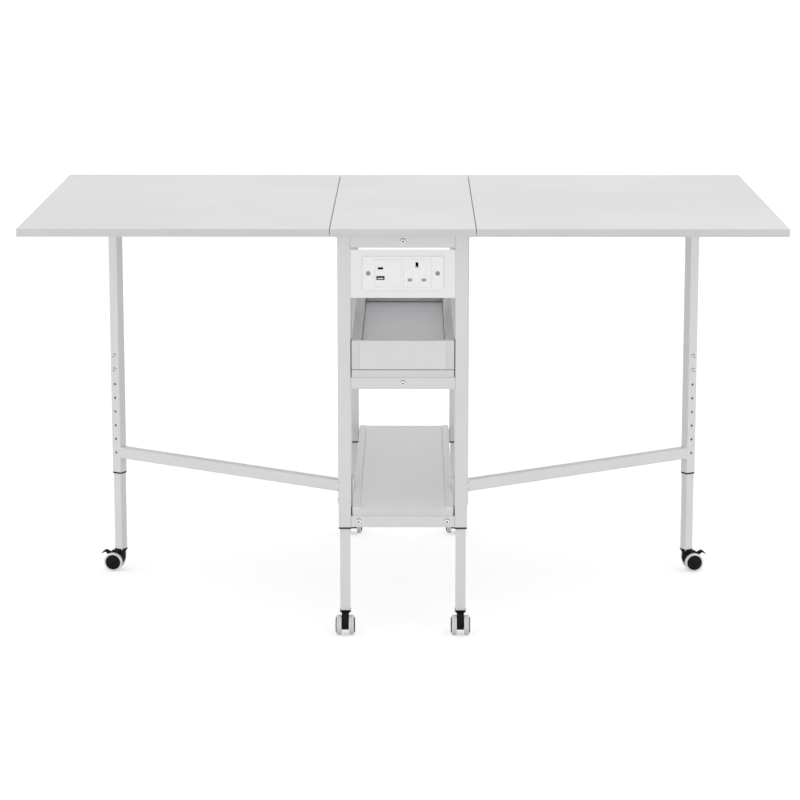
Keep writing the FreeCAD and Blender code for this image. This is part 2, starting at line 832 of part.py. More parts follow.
def caster_places():
    """Each caster's name, place, turn and whether it has a brake lever."""
    return (
        ("front_left", -post_x, -post_y, -90.0, False),
        ("front_right", post_x, -post_y, -90.0, False),
        ("back_left", -post_x, post_y, 90.0, False),
        ("back_right", post_x, post_y, 90.0, False),
        ("left_gate", -gate_leg_x, gate_leg_y, 180.0 - gate_caster_turn, True),
        ("right_gate", gate_leg_x, gate_leg_y, gate_caster_turn, True),
    )


nodes = {
    "centre_top": centre_top(),
    "left_leaf_board": mirrored(leaf_board()),
    "right_leaf_board": leaf_board(),
    "centre_hinge_flaps": centre_hinge_flaps(),
    "left_hinge_flaps": mirrored(leaf_hinge_flaps()),
    "right_hinge_flaps": leaf_hinge_flaps(),
    "front_frame": ladder_frame(-1),
    "back_frame": ladder_frame(1),
    "top_long_rail": top_long_rail(),
    "middle_long_rail": middle_long_rail(),
    "lower_long_rails": lower_long_rails(),
    "frame_bolts": frame_bolts(),
    "top_brackets": top_brackets(),
    "post_sleeves": post_sleeves(),
    "post_lock_screws": post_lock_screws(),
    "gate_brackets": gate_brackets(),
    "bin_base": bin_base(),
    "bin_left_side": mirrored(bin_side()),
    "bin_right_side": bin_side(),
    "bin_front": bin_end(-1),
    "bin_back": bin_end(1),
    "tray_board": tray_board(),
    "tray_strips": tray_strips(),
    "power_box": power_box(),
    "power_box_cover": power_box_cover(),
    "cable_gland": cable_gland(),
    "face_plate": face_plate(),
    "usb_module": usb_module(),
    "socket_module": socket_module(),
    "plate_screws": plate_screws(),
}

gate_pieces = (
    ("gate_frame", gate_frame),
    ("gate_bushes", gate_bushes),
    ("gate_sleeve", gate_sleeve),
    ("gate_glide", gate_glide),
    ("gate_lock_screws", gate_lock_screws),
    ("gate_leg", gate_leg),
)
for name, make in gate_pieces:
    nodes["right_" + name] = make()
    nodes["left_" + name] = mirrored(nodes["right_" + name])

for name, x, y in (
    ("front_left", -1, -post_y),
    ("front_right", 1, -post_y),
    ("back_left", -1, post_y),
    ("back_right", 1, post_y),
):
    nodes[name + "_leg"] = post_leg(x, y)

for name, x, y, turn, braked in caster_places():
    nodes[name + "_caster"] = at_caster(caster_body(braked), x, y, turn)
    nodes[name + "_wheels"] = at_caster(caster_wheels(), x, y, turn)
    if braked:
        nodes[name + "_brake"] = at_caster(brake_lever(), x, y, turn)

for name, shape in nodes.items():
    shape.exportStep("parts/" + name + ".step")
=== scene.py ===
import bpy
import bmesh
from math import cos, pi, radians, sin
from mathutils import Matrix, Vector


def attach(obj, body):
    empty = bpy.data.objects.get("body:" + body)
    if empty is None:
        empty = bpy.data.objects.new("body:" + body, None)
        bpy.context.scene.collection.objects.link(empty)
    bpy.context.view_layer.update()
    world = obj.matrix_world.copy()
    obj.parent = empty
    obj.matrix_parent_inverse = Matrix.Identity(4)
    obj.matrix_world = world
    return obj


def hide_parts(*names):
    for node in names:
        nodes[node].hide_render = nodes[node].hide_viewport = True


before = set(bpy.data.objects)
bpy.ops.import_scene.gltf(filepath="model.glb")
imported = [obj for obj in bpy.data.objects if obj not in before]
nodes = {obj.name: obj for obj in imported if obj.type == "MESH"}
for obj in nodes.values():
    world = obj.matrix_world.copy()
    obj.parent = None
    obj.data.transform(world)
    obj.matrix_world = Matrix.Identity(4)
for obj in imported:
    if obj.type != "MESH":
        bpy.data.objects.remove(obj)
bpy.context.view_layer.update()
mm = 0.001


# The view of the table
# A long lens stands six metres in front of the table and 0.76 m above its top, on its middle
# line, so that the top is seen at a shallow angle and the legs lean in only a little.

view_spot = Vector((0.0177, -5.9929, 1.5782))
view_pitch = radians(11.18)
view_yaw = radians(0.2407)
sensor_width = 36.0
frame_pixels = 800.0
lens_pixels = 2882.3
view_reach = 80.0
eye = bpy.data.objects.new("camera", bpy.data.cameras.new("camera"))
bpy.context.scene.collection.objects.link(eye)
eye.data.sensor_width = sensor_width
eye.data.lens = lens_pixels * sensor_width / frame_pixels
eye.data.clip_end = view_reach
eye.location = view_spot
eye.rotation_euler = (pi / 2 - view_pitch, 0.0, view_yaw)
bpy.context.scene.camera = eye


# The studio round the table
# A white sweep of paper with no edge in sight, one broad soft box overhead and two low ones in
# front of it, either side of the lens, under an evenly white sky.

scene = bpy.context.scene
scene.view_settings.view_transform = "Standard"


def soft_box(name, spot, aim, size, watts):
    """A square lamp at a spot, turned towards its aim."""
    lamp = bpy.data.lights.new(name, "AREA")
    lamp.shape = "SQUARE"
    lamp.size = size
    lamp.energy = watts
    thing = bpy.data.objects.new(name, lamp)
    thing.location = spot
    thing.rotation_euler = (Vector(aim) - Vector(spot)).to_track_quat("-Z", "Y").to_euler()
    scene.collection.objects.link(thing)


table_middle = (0, 0, 0.6)
soft_box("lamp_overhead", (0.4, -0.3, 3.4), table_middle, 3.0, 14.0)
soft_box("lamp_right", (3.2, -3.9, 0.35), table_middle, 1.8, 39.0)
soft_box("lamp_left", (-3.2, -3.9, 0.35), table_middle, 1.8, 44.0)


def shader_node(tree, kind, values=None, **settings):
    """A new node in a tree, with its settings and the values of its inputs."""
    node = tree.nodes.new("ShaderNode" + kind)
    for label, value in settings.items():
        setattr(node, label, value)
    for entry, value in (values or {}).items():
        node.inputs[entry].default_value = value
    return node


def feed(giver, output, taker, entry):
    """Links an output of one node to an input of another in the same tree."""
    giver.id_data.links.new(giver.outputs[output], taker.inputs[entry])


def white_where_seen(tree, plain, seen):
    """Mixes two shaders so that only camera, glossy and transmission rays meet the second."""
    path = shader_node(tree, "LightPath")
    either = shader_node(tree, "Math", operation="MAXIMUM")
    any_of = shader_node(tree, "Math", operation="MAXIMUM")
    mix = shader_node(tree, "MixShader")
    feed(path, "Is Camera Ray", either, 0)
    feed(path, "Is Glossy Ray", either, 1)
    feed(either, 0, any_of, 0)
    feed(path, "Is Transmission Ray", any_of, 1)
    feed(any_of, 0, mix, "Fac")
    feed(plain, 0, mix, 1)
    feed(seen, 0, mix, 2)
    return mix


sky = bpy.data.worlds.new("studio_sky")
sky.use_nodes = True
scene.world = sky
sky_tree = sky.node_tree
sky_tree.nodes.clear()
pure_white = (1.0, 1.0, 1.0, 1.0)
sky_light = shader_node(sky_tree, "Background", {"Color": pure_white, "Strength": 0.72})
sky_seen = shader_node(sky_tree, "Background", {"Color": pure_white})
sky_out = shader_node(sky_tree, "OutputWorld")
feed(white_where_seen(sky_tree, sky_light, sky_seen), 0, sky_out, "Surface")


def put_away():
    """Leaves edit mode with nothing selected, so that the next tool acts on its own piece."""
    if bpy.context.mode != "OBJECT":
        bpy.ops.object.mode_set(mode="OBJECT")
    bpy.ops.object.select_all(action="DESELECT")


put_away()
sweep_size = 90.0
sweep_drop = 0.5
bpy.ops.mesh.primitive_plane_add(size=sweep_size, location=(0, 0, -sweep_drop * mm))
bpy.ops.object.transform_apply(location=True, rotation=False, scale=False)
paper = bpy.context.object
paper.name = "studio_floor"
white_paper = bpy.data.materials.new("white_paper")
white_paper.use_nodes = True
paper_tree = white_paper.node_tree
paper_tree.nodes.clear()
paper_body = shader_node(paper_tree, "BsdfDiffuse", {"Color": (0.8, 0.8, 0.8, 1.0)})
paper_glow = shader_node(paper_tree, "Emission", {"Strength": 0.5})
paper_lit = shader_node(paper_tree, "AddShader")
feed(paper_body, 0, paper_lit, 0)
feed(paper_glow, 0, paper_lit, 1)
paper_out = shader_node(paper_tree, "OutputMaterial")
feed(white_where_seen(paper_tree, paper_body, paper_lit), 0, paper_out, "Surface")
paper.data.materials.append(white_paper)


# The three boards of the top
# Chipboard faced in white melamine with a fine pearl, 15 mm thick. Its edges carry a plastic band
# glued on with a hairline joint, and band and board are eased together by the trimmer. The band is
# painted a darker grey than the face, as painted shade on the narrow sides.

top_low, top_high = 805.0, 820.0
top_half_depth = 450.0
centre_half = 142.0
leaf_start, leaf_end = 143.2, 750.0
band_thickness = 0.8
edge_ease = 0.6


def group_of(name, values, output):
    """An empty shader group that takes a vector and some numbers and gives one, and its ends."""
    tree = bpy.data.node_groups.new(name, "ShaderNodeTree")
    tree.interface.new_socket(name="Vector", in_out="INPUT", socket_type="NodeSocketVector")
    for label, value in values.items():
        socket = tree.interface.new_socket(name=label, in_out="INPUT",
                                           socket_type="NodeSocketFloat")
        socket.default_value = value
    tree.interface.new_socket(name=output, in_out="OUTPUT", socket_type="NodeSocketFloat")
    return tree, tree.nodes.new("NodeGroupInput"), tree.nodes.new("NodeGroupOutput")


def handling_marks():
    """Faint clouds where a surface has been wiped and handled, with a few finer specks in them."""
    tree, start, end = group_of("handling_marks", {"Clouds": 6.0, "Specks": 240.0}, "Mask")
    clouds = shader_node(tree, "TexNoise", {"Detail": 3.0})
    specks = shader_node(tree, "TexNoise", {"Detail": 2.0})
    soften = shader_node(tree, "MapRange", {"From Min": 0.35, "From Max": 0.7})
    join_up = shader_node(tree, "Math", {1: 0.3}, operation="MULTIPLY_ADD", use_clamp=True)
    for texture, name in ((clouds, "Clouds"), (specks, "Specks")):
        feed(start, "Vector", texture, "Vector")
        feed(start, name, texture, "Scale")
    feed(clouds, "Fac", soften, "Value")
    feed(specks, "Fac", join_up, 0)
    feed(soften, "Result", join_up, 2)
    feed(join_up, 0, end, "Mask")
    return tree


def skin_grain():
    """The relief of a skin: a fine grain on a broader ripple."""
    tree, start, end = group_of("skin_grain", {"Fine": 2500.0, "Ripple": 400.0, "Share": 0.5},
                                "Height")
    fine = shader_node(tree, "TexNoise", {"Detail": 2.0})
    ripple = shader_node(tree, "TexNoise", {"Detail": 1.0})
    blend = shader_node(tree, "Mix")
    for texture, name in ((fine, "Fine"), (ripple, "Ripple")):
        feed(start, "Vector", texture, "Vector")
        feed(start, name, texture, "Scale")
    feed(start, "Share", blend, 0)
    feed(fine, "Fac", blend, 2)
    feed(ripple, "Fac", blend, 3)
    feed(blend, 0, end, "Height")
    return tree


def rubbed_edges():
    """Where a sharp edge catches cloths and hands: the edges of a shape, broken up along them."""
    tree, start, end = group_of("rubbed_edges", {"Reach": 0.0012, "Patches": 60.0}, "Mask")
    rounded = shader_node(tree, "Bevel", samples=4)
    flat = shader_node(tree, "NewGeometry")
    agree = shader_node(tree, "VectorMath", operation="DOT_PRODUCT")
    turn = shader_node(tree, "MapRange", {"From Min": 0.995, "From Max": 0.8})
    patches = shader_node(tree, "TexNoise", {"Detail": 4.0})
    broken = shader_node(tree, "Math", operation="MULTIPLY", use_clamp=True)
    feed(start, "Reach", rounded, "Radius")
    feed(rounded, "Normal", agree, 0)
    feed(flat, "Normal", agree, 1)
    feed(agree, "Value", turn, "Value")
    feed(start, "Vector", patches, "Vector")
    feed(start, "Patches", patches, "Scale")
    feed(turn, "Result", broken, 0)
    feed(patches, "Fac", broken, 1)
    feed(broken, 0, end, "Mask")
    return tree


marks_group, grain_group, edges_group = handling_marks(), skin_grain(), rubbed_edges()


def finish(name, colour, cloud_colour, edge_colour, roughness, relief, clouds=5.0, specks=260.0,
           fine=2500.0, ripple=420.0, share=0.5, reach=1.0, **shader_values):
    """A finish: a base colour with faint clouds and rubbed edges, its sheen, and its grain.
    roughness is (clean, handled) and relief is the depth of the grain in millimetres."""
    material = bpy.data.materials.new(name)
    material.use_nodes = True
    tree = material.node_tree
    shader = tree.nodes["Principled BSDF"]
    for label, value in shader_values.items():
        shader.inputs[label.replace("_", " ")].default_value = value
    place = shader_node(tree, "TexCoord")
    marks = shader_node(tree, "Group", {"Clouds": clouds, "Specks": specks}, node_tree=marks_group)
    grain = shader_node(tree, "Group", {"Fine": fine, "Ripple": ripple, "Share": share},
                        node_tree=grain_group)
    edges = shader_node(tree, "Group", {"Reach": reach * mm}, node_tree=edges_group)
    for part in (marks, grain, edges):
        feed(place, "Object", part, "Vector")
    clouded = shader_node(tree, "Mix", {6: (*colour, 1.0), 7: (*cloud_colour, 1.0)},
                          data_type="RGBA")
    rubbed = shader_node(tree, "Mix", {7: (*edge_colour, 1.0)}, data_type="RGBA")
    feed(marks, "Mask", clouded, 0)
    feed(edges, "Mask", rubbed, 0)
    feed(clouded, 2, rubbed, 6)
    feed(rubbed, 2, shader, "Base Color")
    clean, handled = roughness
    sheen = shader_node(tree, "MapRange", {"To Min": clean, "To Max": handled})
    feed(marks, "Mask", sheen, "Value")
    feed(sheen, "Result", shader, "Roughness")
    bump = shader_node(tree, "Bump", {"Strength": 1.0, "Distance": relief * mm})
    feed(grain, "Height", bump, "Height")
    feed(bump, "Normal", shader, "Normal")
    return material


melamine_grain = {"clouds": 3.0, "specks": 420.0, "fine": 1500.0, "ripple": 260.0, "share": 0.35,
                  "Specular_IOR_Level": 0.45}
board_melamine = finish("board_melamine", (0.80, 0.806, 0.816), (0.778, 0.784, 0.796),
                        (0.74, 0.74, 0.73), (0.34, 0.46), 0.012, **melamine_grain)
# The edge band is a darker copy of the white face: painted shade on the narrow sides.
board_band_shade = finish("board_band_shade", (0.65, 0.654, 0.652), (0.63, 0.634, 0.63),
                    (0.575, 0.57, 0.56), (0.36, 0.48), 0.01, clouds=9.0, fine=1800.0,
                    Specular_IOR_Level=0.45)


def in_order(one_corner, other_corner):
    """The lowest and the highest corner of the box between two of its opposite corners."""
    return [tuple(map(pick_end, one_corner, other_corner)) for pick_end in (min, max)]


def slab(name, one_corner, other_corner):
    """A block between two corners, given in millimetres, with its place in its mesh."""
    put_away()
    low, high = (Vector(corner) * mm for corner in in_order(one_corner, other_corner))
    bpy.ops.mesh.primitive_cube_add(size=1.0, location=(low + high) / 2, scale=high - low)
    bpy.ops.object.transform_apply(location=True, rotation=True, scale=True)
    piece = bpy.context.object
    piece.name = name
    return piece


def take(piece):
    """Makes a piece the only one selected, and the active one."""
    put_away()
    piece.select_set(True)
    bpy.context.view_layer.objects.active = piece


def pick(piece, kind, wanted):
    """Goes into edit mode with the vertices, edges or faces selected that wanted() accepts."""
    take(piece)
    bpy.ops.object.mode_set(mode="EDIT")
    bpy.ops.mesh.select_mode(type=kind)
    bpy.ops.mesh.select_all(action="DESELECT")
    shape = bmesh.from_edit_mesh(piece.data)
    shape.normal_update()
    for part in {"VERT": shape.verts, "EDGE": shape.edges, "FACE": shape.faces}[kind]:
        if wanted(part):
            part.select_set(True)
    shape.select_flush_mode()
    bmesh.update_edit_mesh(piece.data)


def middle(part):
    """The middle of an edge or face, in millimetres."""
    spots = [v.co for v in part.verts]
    return sum(spots, Vector()) / len(spots) / mm


def runs_along(edge, axis):
    """Whether an edge runs along an axis, 0 for X, 1 for Y and 2 for Z."""
    way = (edge.verts[1].co - edge.verts[0].co).normalized()
    return abs(way[axis]) > 0.99


def ease(piece, width, segments, wanted):
    """Rounds the edges that wanted() accepts."""
    pick(piece, "EDGE", wanted)
    bpy.ops.mesh.bevel(offset=width * mm, segments=segments, affect="EDGES")
    put_away()


def smooth(piece, angle=32.0):
    """Smooth shading, except over edges sharper than an angle in degrees."""
    take(piece)
    bpy.ops.object.shade_smooth_by_angle(angle=radians(angle))
    put_away()


def coat(piece, *finishes):
    """Gives a piece its finishes, and hands it back."""
    for material in finishes:
        piece.data.materials.append(material)
    return piece


def hand_over(piece, body, slot, finishes, *stands_for):
    """Gives a piece its finishes, the body that it moves with and the nodes that it stands for."""
    coat(piece, *finishes)
    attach(piece, body)
    if stands_for:
        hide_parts(*stands_for)


corner_radius = 6.0
hairline = 0.12


def banded_board(name, one_corner, other_corner, body, finishes=(board_melamine, board_band_shade),
                 rounded=None):
    """A faced board with a band on its four narrow sides and a hairline where they meet.
    Upright edges that rounded() accepts get the corner radius."""
    low, high = in_order(one_corner, other_corner)
    piece = slab(name, low, high)
    size = [b - a for a, b in zip(low, high)]
    across = size.index(min(size))
    if rounded:
        ease(piece, corner_radius, 6, rounded)
    ease(piece, edge_ease, 3, lambda e: e.calc_face_angle(0.0) > 0.8)
    pick(piece, "FACE", lambda f: abs(f.normal[across]) > 0.99)
    bpy.ops.mesh.inset(thickness=(band_thickness - edge_ease) * mm)
    bpy.ops.mesh.inset(thickness=hairline * mm, depth=-hairline * mm)
    bpy.ops.mesh.inset(thickness=hairline * mm, depth=hairline * mm)
    put_away()
    half = size[across] / 2
    centre = (low[across] + high[across]) / 2
    inner = [(a + band_thickness, b - band_thickness) for a, b in zip(low, high)]
    for face in piece.data.polygons:
        spot = Vector(face.center) / mm
        flat = abs(face.normal[across]) > 0.9 and abs(abs(spot[across] - centre) - half) < 0.05
        within = all(inner[i][0] <= spot[i] <= inner[i][1] for i in range(3) if i != across)
        face.material_index = 0 if flat and within else 1
    smooth(piece)
    hand_over(piece, body, "white_board", finishes, name.replace("_faced", ""))
    return piece


left_and_right = ((-1, "left"), (1, "right"))
front_and_back = ((-1, "front"), (1, "back"))
banded_board("centre_top_faced", (-centre_half, -top_half_depth, top_low),
             (centre_half, top_half_depth, top_high), "cabinet")
for side, label in left_and_right:
    banded_board(label + "_leaf_board_faced", (side * leaf_start, -top_half_depth, top_low),
                 (side * leaf_end, top_half_depth, top_high), label + "_leaf")


# The cabinet frame and its long rails
# Two ladder frames of welded square tube, front and back, tied by four long rails. All of it is
# white powder coat over steel, which leaves a fine orange peel and pools a little in the corners.

powder_grain = {"specks": 300.0, "fine": 2200.0, "ripple": 700.0, "share": 0.6}
powder_coat = finish("powder_coat", (0.745, 0.747, 0.752), (0.72, 0.723, 0.73),
                     (0.67, 0.67, 0.67), (0.36, 0.5), 0.028, clouds=7.0, **powder_grain)


def dress(finish_of_node, *names):
    """Gives nodes that keep their own shape their finish."""
    for name in names:
        nodes[name].data.materials.clear()
        coat(nodes[name], finish_of_node)


dress(powder_coat, "front_frame", "back_frame", "top_long_rail", "middle_long_rail",
      "lower_long_rails")


# The welds of the cabinet frame
# A short fillet of weld in the corner between post and rail at each end of every cross rail,
# ground smooth on the outer faces and painted with the frame.

post_x, frame_y = 115.0, 411.5
post_half = 12.5
weld_throat = 1.6
weld_run = 22.0
weld_heights = (243.0, 499.0, 780.0)
ripple_pitch = 3.1
bead_girth, bead_swell = 0.86, 0.1


def weld_bead(spot, run):
    """One run of weld at a spot in millimetres: a rippled bead along Y."""
    put_away()
    bpy.ops.mesh.primitive_cylinder_add(vertices=10, radius=weld_throat * mm, depth=run * mm,
                                        location=Vector(spot) * mm, rotation=(pi / 2, 0, 0))
    bpy.ops.object.transform_apply(location=True, rotation=True, scale=True)
    bead = bpy.context.object
    bead.name = "bead"
    pick(bead, "EDGE", lambda e: runs_along(e, 1))
    bpy.ops.mesh.subdivide(number_cuts=17)
    bpy.ops.mesh.select_all(action="DESELECT")
    put_away()
    for vertex in bead.data.vertices:
        offset = vertex.co - Vector(spot) * mm
        swell = bead_girth + bead_swell * cos(offset.y / mm * 2 * pi / ripple_pitch)
        for i in (0, 2):
            vertex.co[i] = spot[i] * mm + offset[i] * swell
    smooth(bead, 60.0)
    return bead


def join_as(name, parts):
    """Joins like pieces into one."""
    put_away()
    for part in parts:
        part.select_set(True)
    bpy.context.view_layer.objects.active = parts[0]
    if len(parts) > 1:
        bpy.ops.object.join()
    parts[0].name = name
    put_away()
    return parts[0]


for side, label in front_and_back:
    beads = [weld_bead((x, side * frame_y, z), weld_run)
             for x in (post_half - post_x, post_x - post_half) for z in weld_heights]
    hand_over(join_as(label + "_frame_welds", beads), "cabinet", "white_steel", (powder_coat,))


# The frame bolts and the legs' lock screws
# Steel button heads with a hexagon drive, painted white, each over a near-black ring set a little
# high, so that a painted shade shows along the top of the head. Eight bolts tie the long rails to
# the end frames, and two screws in one face of every leg hold it at its height.

bolt_paint = finish("bolt_paint", (0.93, 0.93, 0.935), (0.9, 0.9, 0.905), (0.78, 0.78, 0.78),
                    (0.22, 0.34), 0.012, clouds=60.0, fine=4000.0, reach=0.4)
# Near black: the drives, the beds of the plate screws, and the rings under the button heads, which
# are painted shade.
drive_dark = finish("drive_dark", (0.055, 0.055, 0.06), (0.035, 0.035, 0.04), (0.12, 0.12, 0.12),
                    (0.4, 0.6), 0.01, clouds=80.0, reach=0.3, Metallic=0.6)


def traced(name, outline, y=0.0):
    """A line of edges through an outline in the XZ plane at a Y in millimetres, all selected."""
    put_away()
    bpy.ops.mesh.primitive_plane_add(size=mm)
    piece = bpy.context.object
    piece.name = name
    bpy.ops.object.mode_set(mode="EDIT")
    bpy.ops.mesh.select_mode(type="VERT")
    bpy.ops.mesh.select_all(action="SELECT")
    bpy.ops.mesh.merge(type="CENTER")
    bpy.ops.transform.translate(value=(outline[0][0] * mm, y * mm, outline[0][1] * mm))
    for (x0, z0), (x1, z1) in zip(outline, outline[1:]):
        step = ((x1 - x0) * mm, 0, (z1 - z0) * mm)
        bpy.ops.mesh.extrude_region_move(TRANSFORM_OT_translate={"value": step})
    bpy.ops.mesh.select_all(action="SELECT")
    return piece


def turned(name, outline, steps=32):
    """A round piece about the upright axis at the origin, from its half outline in millimetres."""
    piece = traced(name, outline)
    bpy.ops.mesh.spin(steps=steps, angle=2 * pi, center=(0, 0, 0), axis=(0, 0, 1))
    bpy.ops.mesh.select_all(action="SELECT")
    bpy.ops.mesh.remove_doubles(threshold=0.004 * mm)
    bpy.ops.mesh.normals_make_consistent(inside=False)
    put_away()
    return piece


def settle(piece, spot, turn=(0, 0, 0)):
    """Turns a piece about the origin and moves it to a spot in millimetres, in its mesh."""
    take(piece)
    piece.rotation_mode = "XYZ"
    piece.rotation_euler = turn
    piece.location = Vector(spot) * mm
    bpy.ops.object.transform_apply(location=True, rotation=True, scale=True)
    put_away()
    return piece


def another(piece, name):
    """A copy of a piece with a mesh of its own."""
    twin = piece.copy()
    twin.data = piece.data.copy()
    twin.name = name
    scene.collection.objects.link(twin)
    return twin


def discard(*pieces):
    """Removes masters and cutters that have done their work."""
    for piece in pieces:
        bpy.data.objects.remove(piece, do_unlink=True)


def carve(piece, cutter, keep_cutter=False):
    """Cuts one piece out of another. The walls of the cut take the cutter's finish, if any."""
    take(piece)
    cut = piece.modifiers.new("cut", "BOOLEAN")
    cut.operation = "DIFFERENCE"
    cut.solver = "EXACT"
    cut.material_mode = "TRANSFER" if cutter.data.materials else "INDEX"
    cut.object = cutter
    bpy.ops.object.modifier_apply(modifier="cut")
    put_away()
    if not keep_cutter:
        discard(cutter)


def hexagon(name, across_flats, low, high):
    """A six-sided block about the upright axis, for a drive or a nut."""
    put_away()
    bpy.ops.mesh.primitive_cylinder_add(vertices=6, radius=across_flats / 2 / cos(pi / 6) * mm,
                                        depth=(high - low) * mm,
                                        location=(0, 0, (low + high) / 2 * mm))
    bpy.ops.object.transform_apply(location=True, rotation=True, scale=True)
    block = bpy.context.object
    block.name = name
    return block


button_head = turned("button_head", ((0, -1.0), (2.9, -1.0), (2.9, 0.0), (5.0, 0.0), (5.2, 0.2),
                                     (5.1, 0.75), (4.75, 1.4), (4.1, 2.1), (3.2, 2.65),
                                     (2.3, 2.93), (0, 3.0)))
coat(button_head, bolt_paint)
carve(button_head, coat(hexagon("drive", 3.2, 0.9, 4.0), drive_dark))
smooth(button_head, 40.0)
# A near-black ring under each head, set high so that it shows along the top of the head: painted
# shade.
head_shade_ring = turned("head_shade_ring", ((0, -0.1), (5.1, -0.1), (5.1, 0.3), (4.9, 0.5), (0, 0.5)))
smooth(coat(head_shade_ring, drive_dark), 40.0)
shade_ring_lift = Vector((0, 0, 1.2))

facing = {"front": (pi / 2, 0, 0), "back": (-pi / 2, 0, 0), "left": (0, -pi / 2, 0),
          "right": (0, pi / 2, 0)}
long_rail_x = 87.823


def button_heads(name, body, node, places):
    """A group of button heads, each given by its spot on the tube and the way it faces."""
    heads = [settle(another(button_head, "head"), spot, turn) for spot, turn in places]
    heads += [settle(another(head_shade_ring, "shade_ring"), Vector(spot) + shade_ring_lift, turn)
              for spot, turn in places]
    piece = join_as(name, heads)
    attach(piece, body)
    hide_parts(node)


frame_face, post_face = frame_y + post_half, post_x + post_half
bolt_spots = ((0.0, 792.5), (0.0, 510.75), (-long_rail_x, 231.25), (long_rail_x, 231.25))
post_lock_heights, gate_lock_heights = (273.0, 303.0), (442.5, 472.5)
button_heads("frame_bolt_heads", "cabinet", "frame_bolts",
             [((x, side * frame_face, z), facing[label]) for side, label in front_and_back
              for x, z in bolt_spots])
button_heads("post_lock_heads", "cabinet", "post_lock_screws",
             [((side * post_face, y, z), facing[label]) for side, label in left_and_right
              for y in (-frame_y, frame_y) for z in post_lock_heights])

hinge_spot = Vector((118.5, -240.3, 0.0))
arm_length = 593.7
arm_angle = radians(33.5)
gate_tube_half = 11.0


def on_gate(side, along, across, z):
    """A spot on the left (-1) or right (1) gate, along its arm and across it towards the front."""
    x = hinge_spot.x + along * cos(arm_angle) + across * sin(arm_angle)
    y = hinge_spot.y + along * sin(arm_angle) - across * cos(arm_angle)
    return (side * x, y, z)


for side, label in left_and_right:
    button_heads(label + "_gate_lock_heads", label + "_gate", label + "_gate_lock_screws",
                 [(on_gate(side, arm_length, gate_tube_half, z), (pi / 2, 0, side * arm_angle))
                  for z in gate_lock_heights])
discard(button_head, head_shade_ring)


# The telescopic legs
# Six inner legs of square tube slide in the posts and gate tubes through black nylon bushes. A
# black plug closes the foot of each leg, and its rim stands a little proud of the tube.

black_nylon = finish("black_nylon", (0.0045, 0.0045, 0.005), (0.008, 0.008, 0.009),
                     (0.024, 0.024, 0.025), (0.34, 0.52), 0.02, clouds=40.0, specks=900.0,
                     fine=3000.0, ripple=1200.0, share=0.4, reach=0.6, Specular_IOR_Level=0.1)
leg_foot = 46.3
plug_rim = 2.4
plug_proud = 0.95
stem_bore = 5.56
leg_size, gate_leg_size = 20.0, 19.0

legs = [(end_label + "_" + side_label, side * post_x, end * frame_y, 0.0, leg_size)
        for end, end_label in front_and_back for side, side_label in left_and_right]
legs += [(label + "_gate", *on_gate(side, arm_length, 0.0, 0.0)[:2], side * arm_angle,
          gate_leg_size) for side, label in left_and_right]
dress(black_nylon, "post_sleeves", "left_gate_sleeve", "right_gate_sleeve")
for name, x, y, turn, size in legs:
    if "gate" not in name:
        dress(powder_coat, name + "_leg")
    half = size / 2 + plug_proud
    rim = slab(name + "_foot_plug", (-half, -half, leg_foot - 0.05),
               (half, half, leg_foot + plug_rim + 0.05))
    ease(rim, 1.2, 3, lambda e: runs_along(e, 2))
    bore = turned("stem_bore", ((0, 0), (stem_bore, 0), (stem_bore, 4), (0, 4)))
    carve(rim, settle(bore, (0, 0, leg_foot - 1)))
    smooth(settle(rim, (x, y, 0), (0, 0, turn)))
    hand_over(rim, name + "_leg", "black_plastic", (black_nylon,))


# The casters
# A moulded nylon fork carries a stem, a round flange and a web between two wheels. The web trails
# behind the stem, and on the gate casters it is slotted at the top for a brake lever.

trail = 15.0
axle_z = 20.0
web_half = 7.0
lever_pin = (19.0, 37.0)
slot_half, slot_margin, slot_end = 4.35, 3.3, 60.0
fork_outline = ((-8.7, 43.2), (9.5, 43.7), (13.0, 44.0), (15.2, 43.95), (17.2, 43.6), (20.0, 42.5),
                (21.7, 41.4), (23.0, 40.0), (24.2, 38.2), (25.0, 36.5), (26.3, 33.8), (27.0, 31.0),
                (27.5, 27.5), (27.6, 24.0), (27.1, 20.2), (26.0, 17.0), (24.3, 14.2), (22.0, 12.0),
                (18.6, 10.6), (15.0, 10.0), (10.3, 10.4), (6.0, 11.5), (1.8, 13.4), (-2.0, 16.0),
                (-5.4, 18.8), (-7.8, 22.0), (-8.8, 26.0), (-9.1, 30.0))


def cut_plate(name, outline, low, high):
    """A plate cut to an outline in the XZ plane, between two values of Y, all in millimetres."""
    piece = traced(name, outline, low)
    bpy.ops.mesh.edge_face_add()
    thickness = (0, (high - low) * mm, 0)
    bpy.ops.mesh.extrude_region_move(TRANSFORM_OT_translate={"value": thickness})
    bpy.ops.mesh.select_all(action="SELECT")
    bpy.ops.mesh.normals_make_consistent(inside=False)
    put_away()
    return piece


def level_sides(edge):
    """The edges of a plate's two flat sides, which lie in planes of constant Y."""
    return abs(edge.verts[0].co.y - edge.verts[1].co.y) < 1e-6


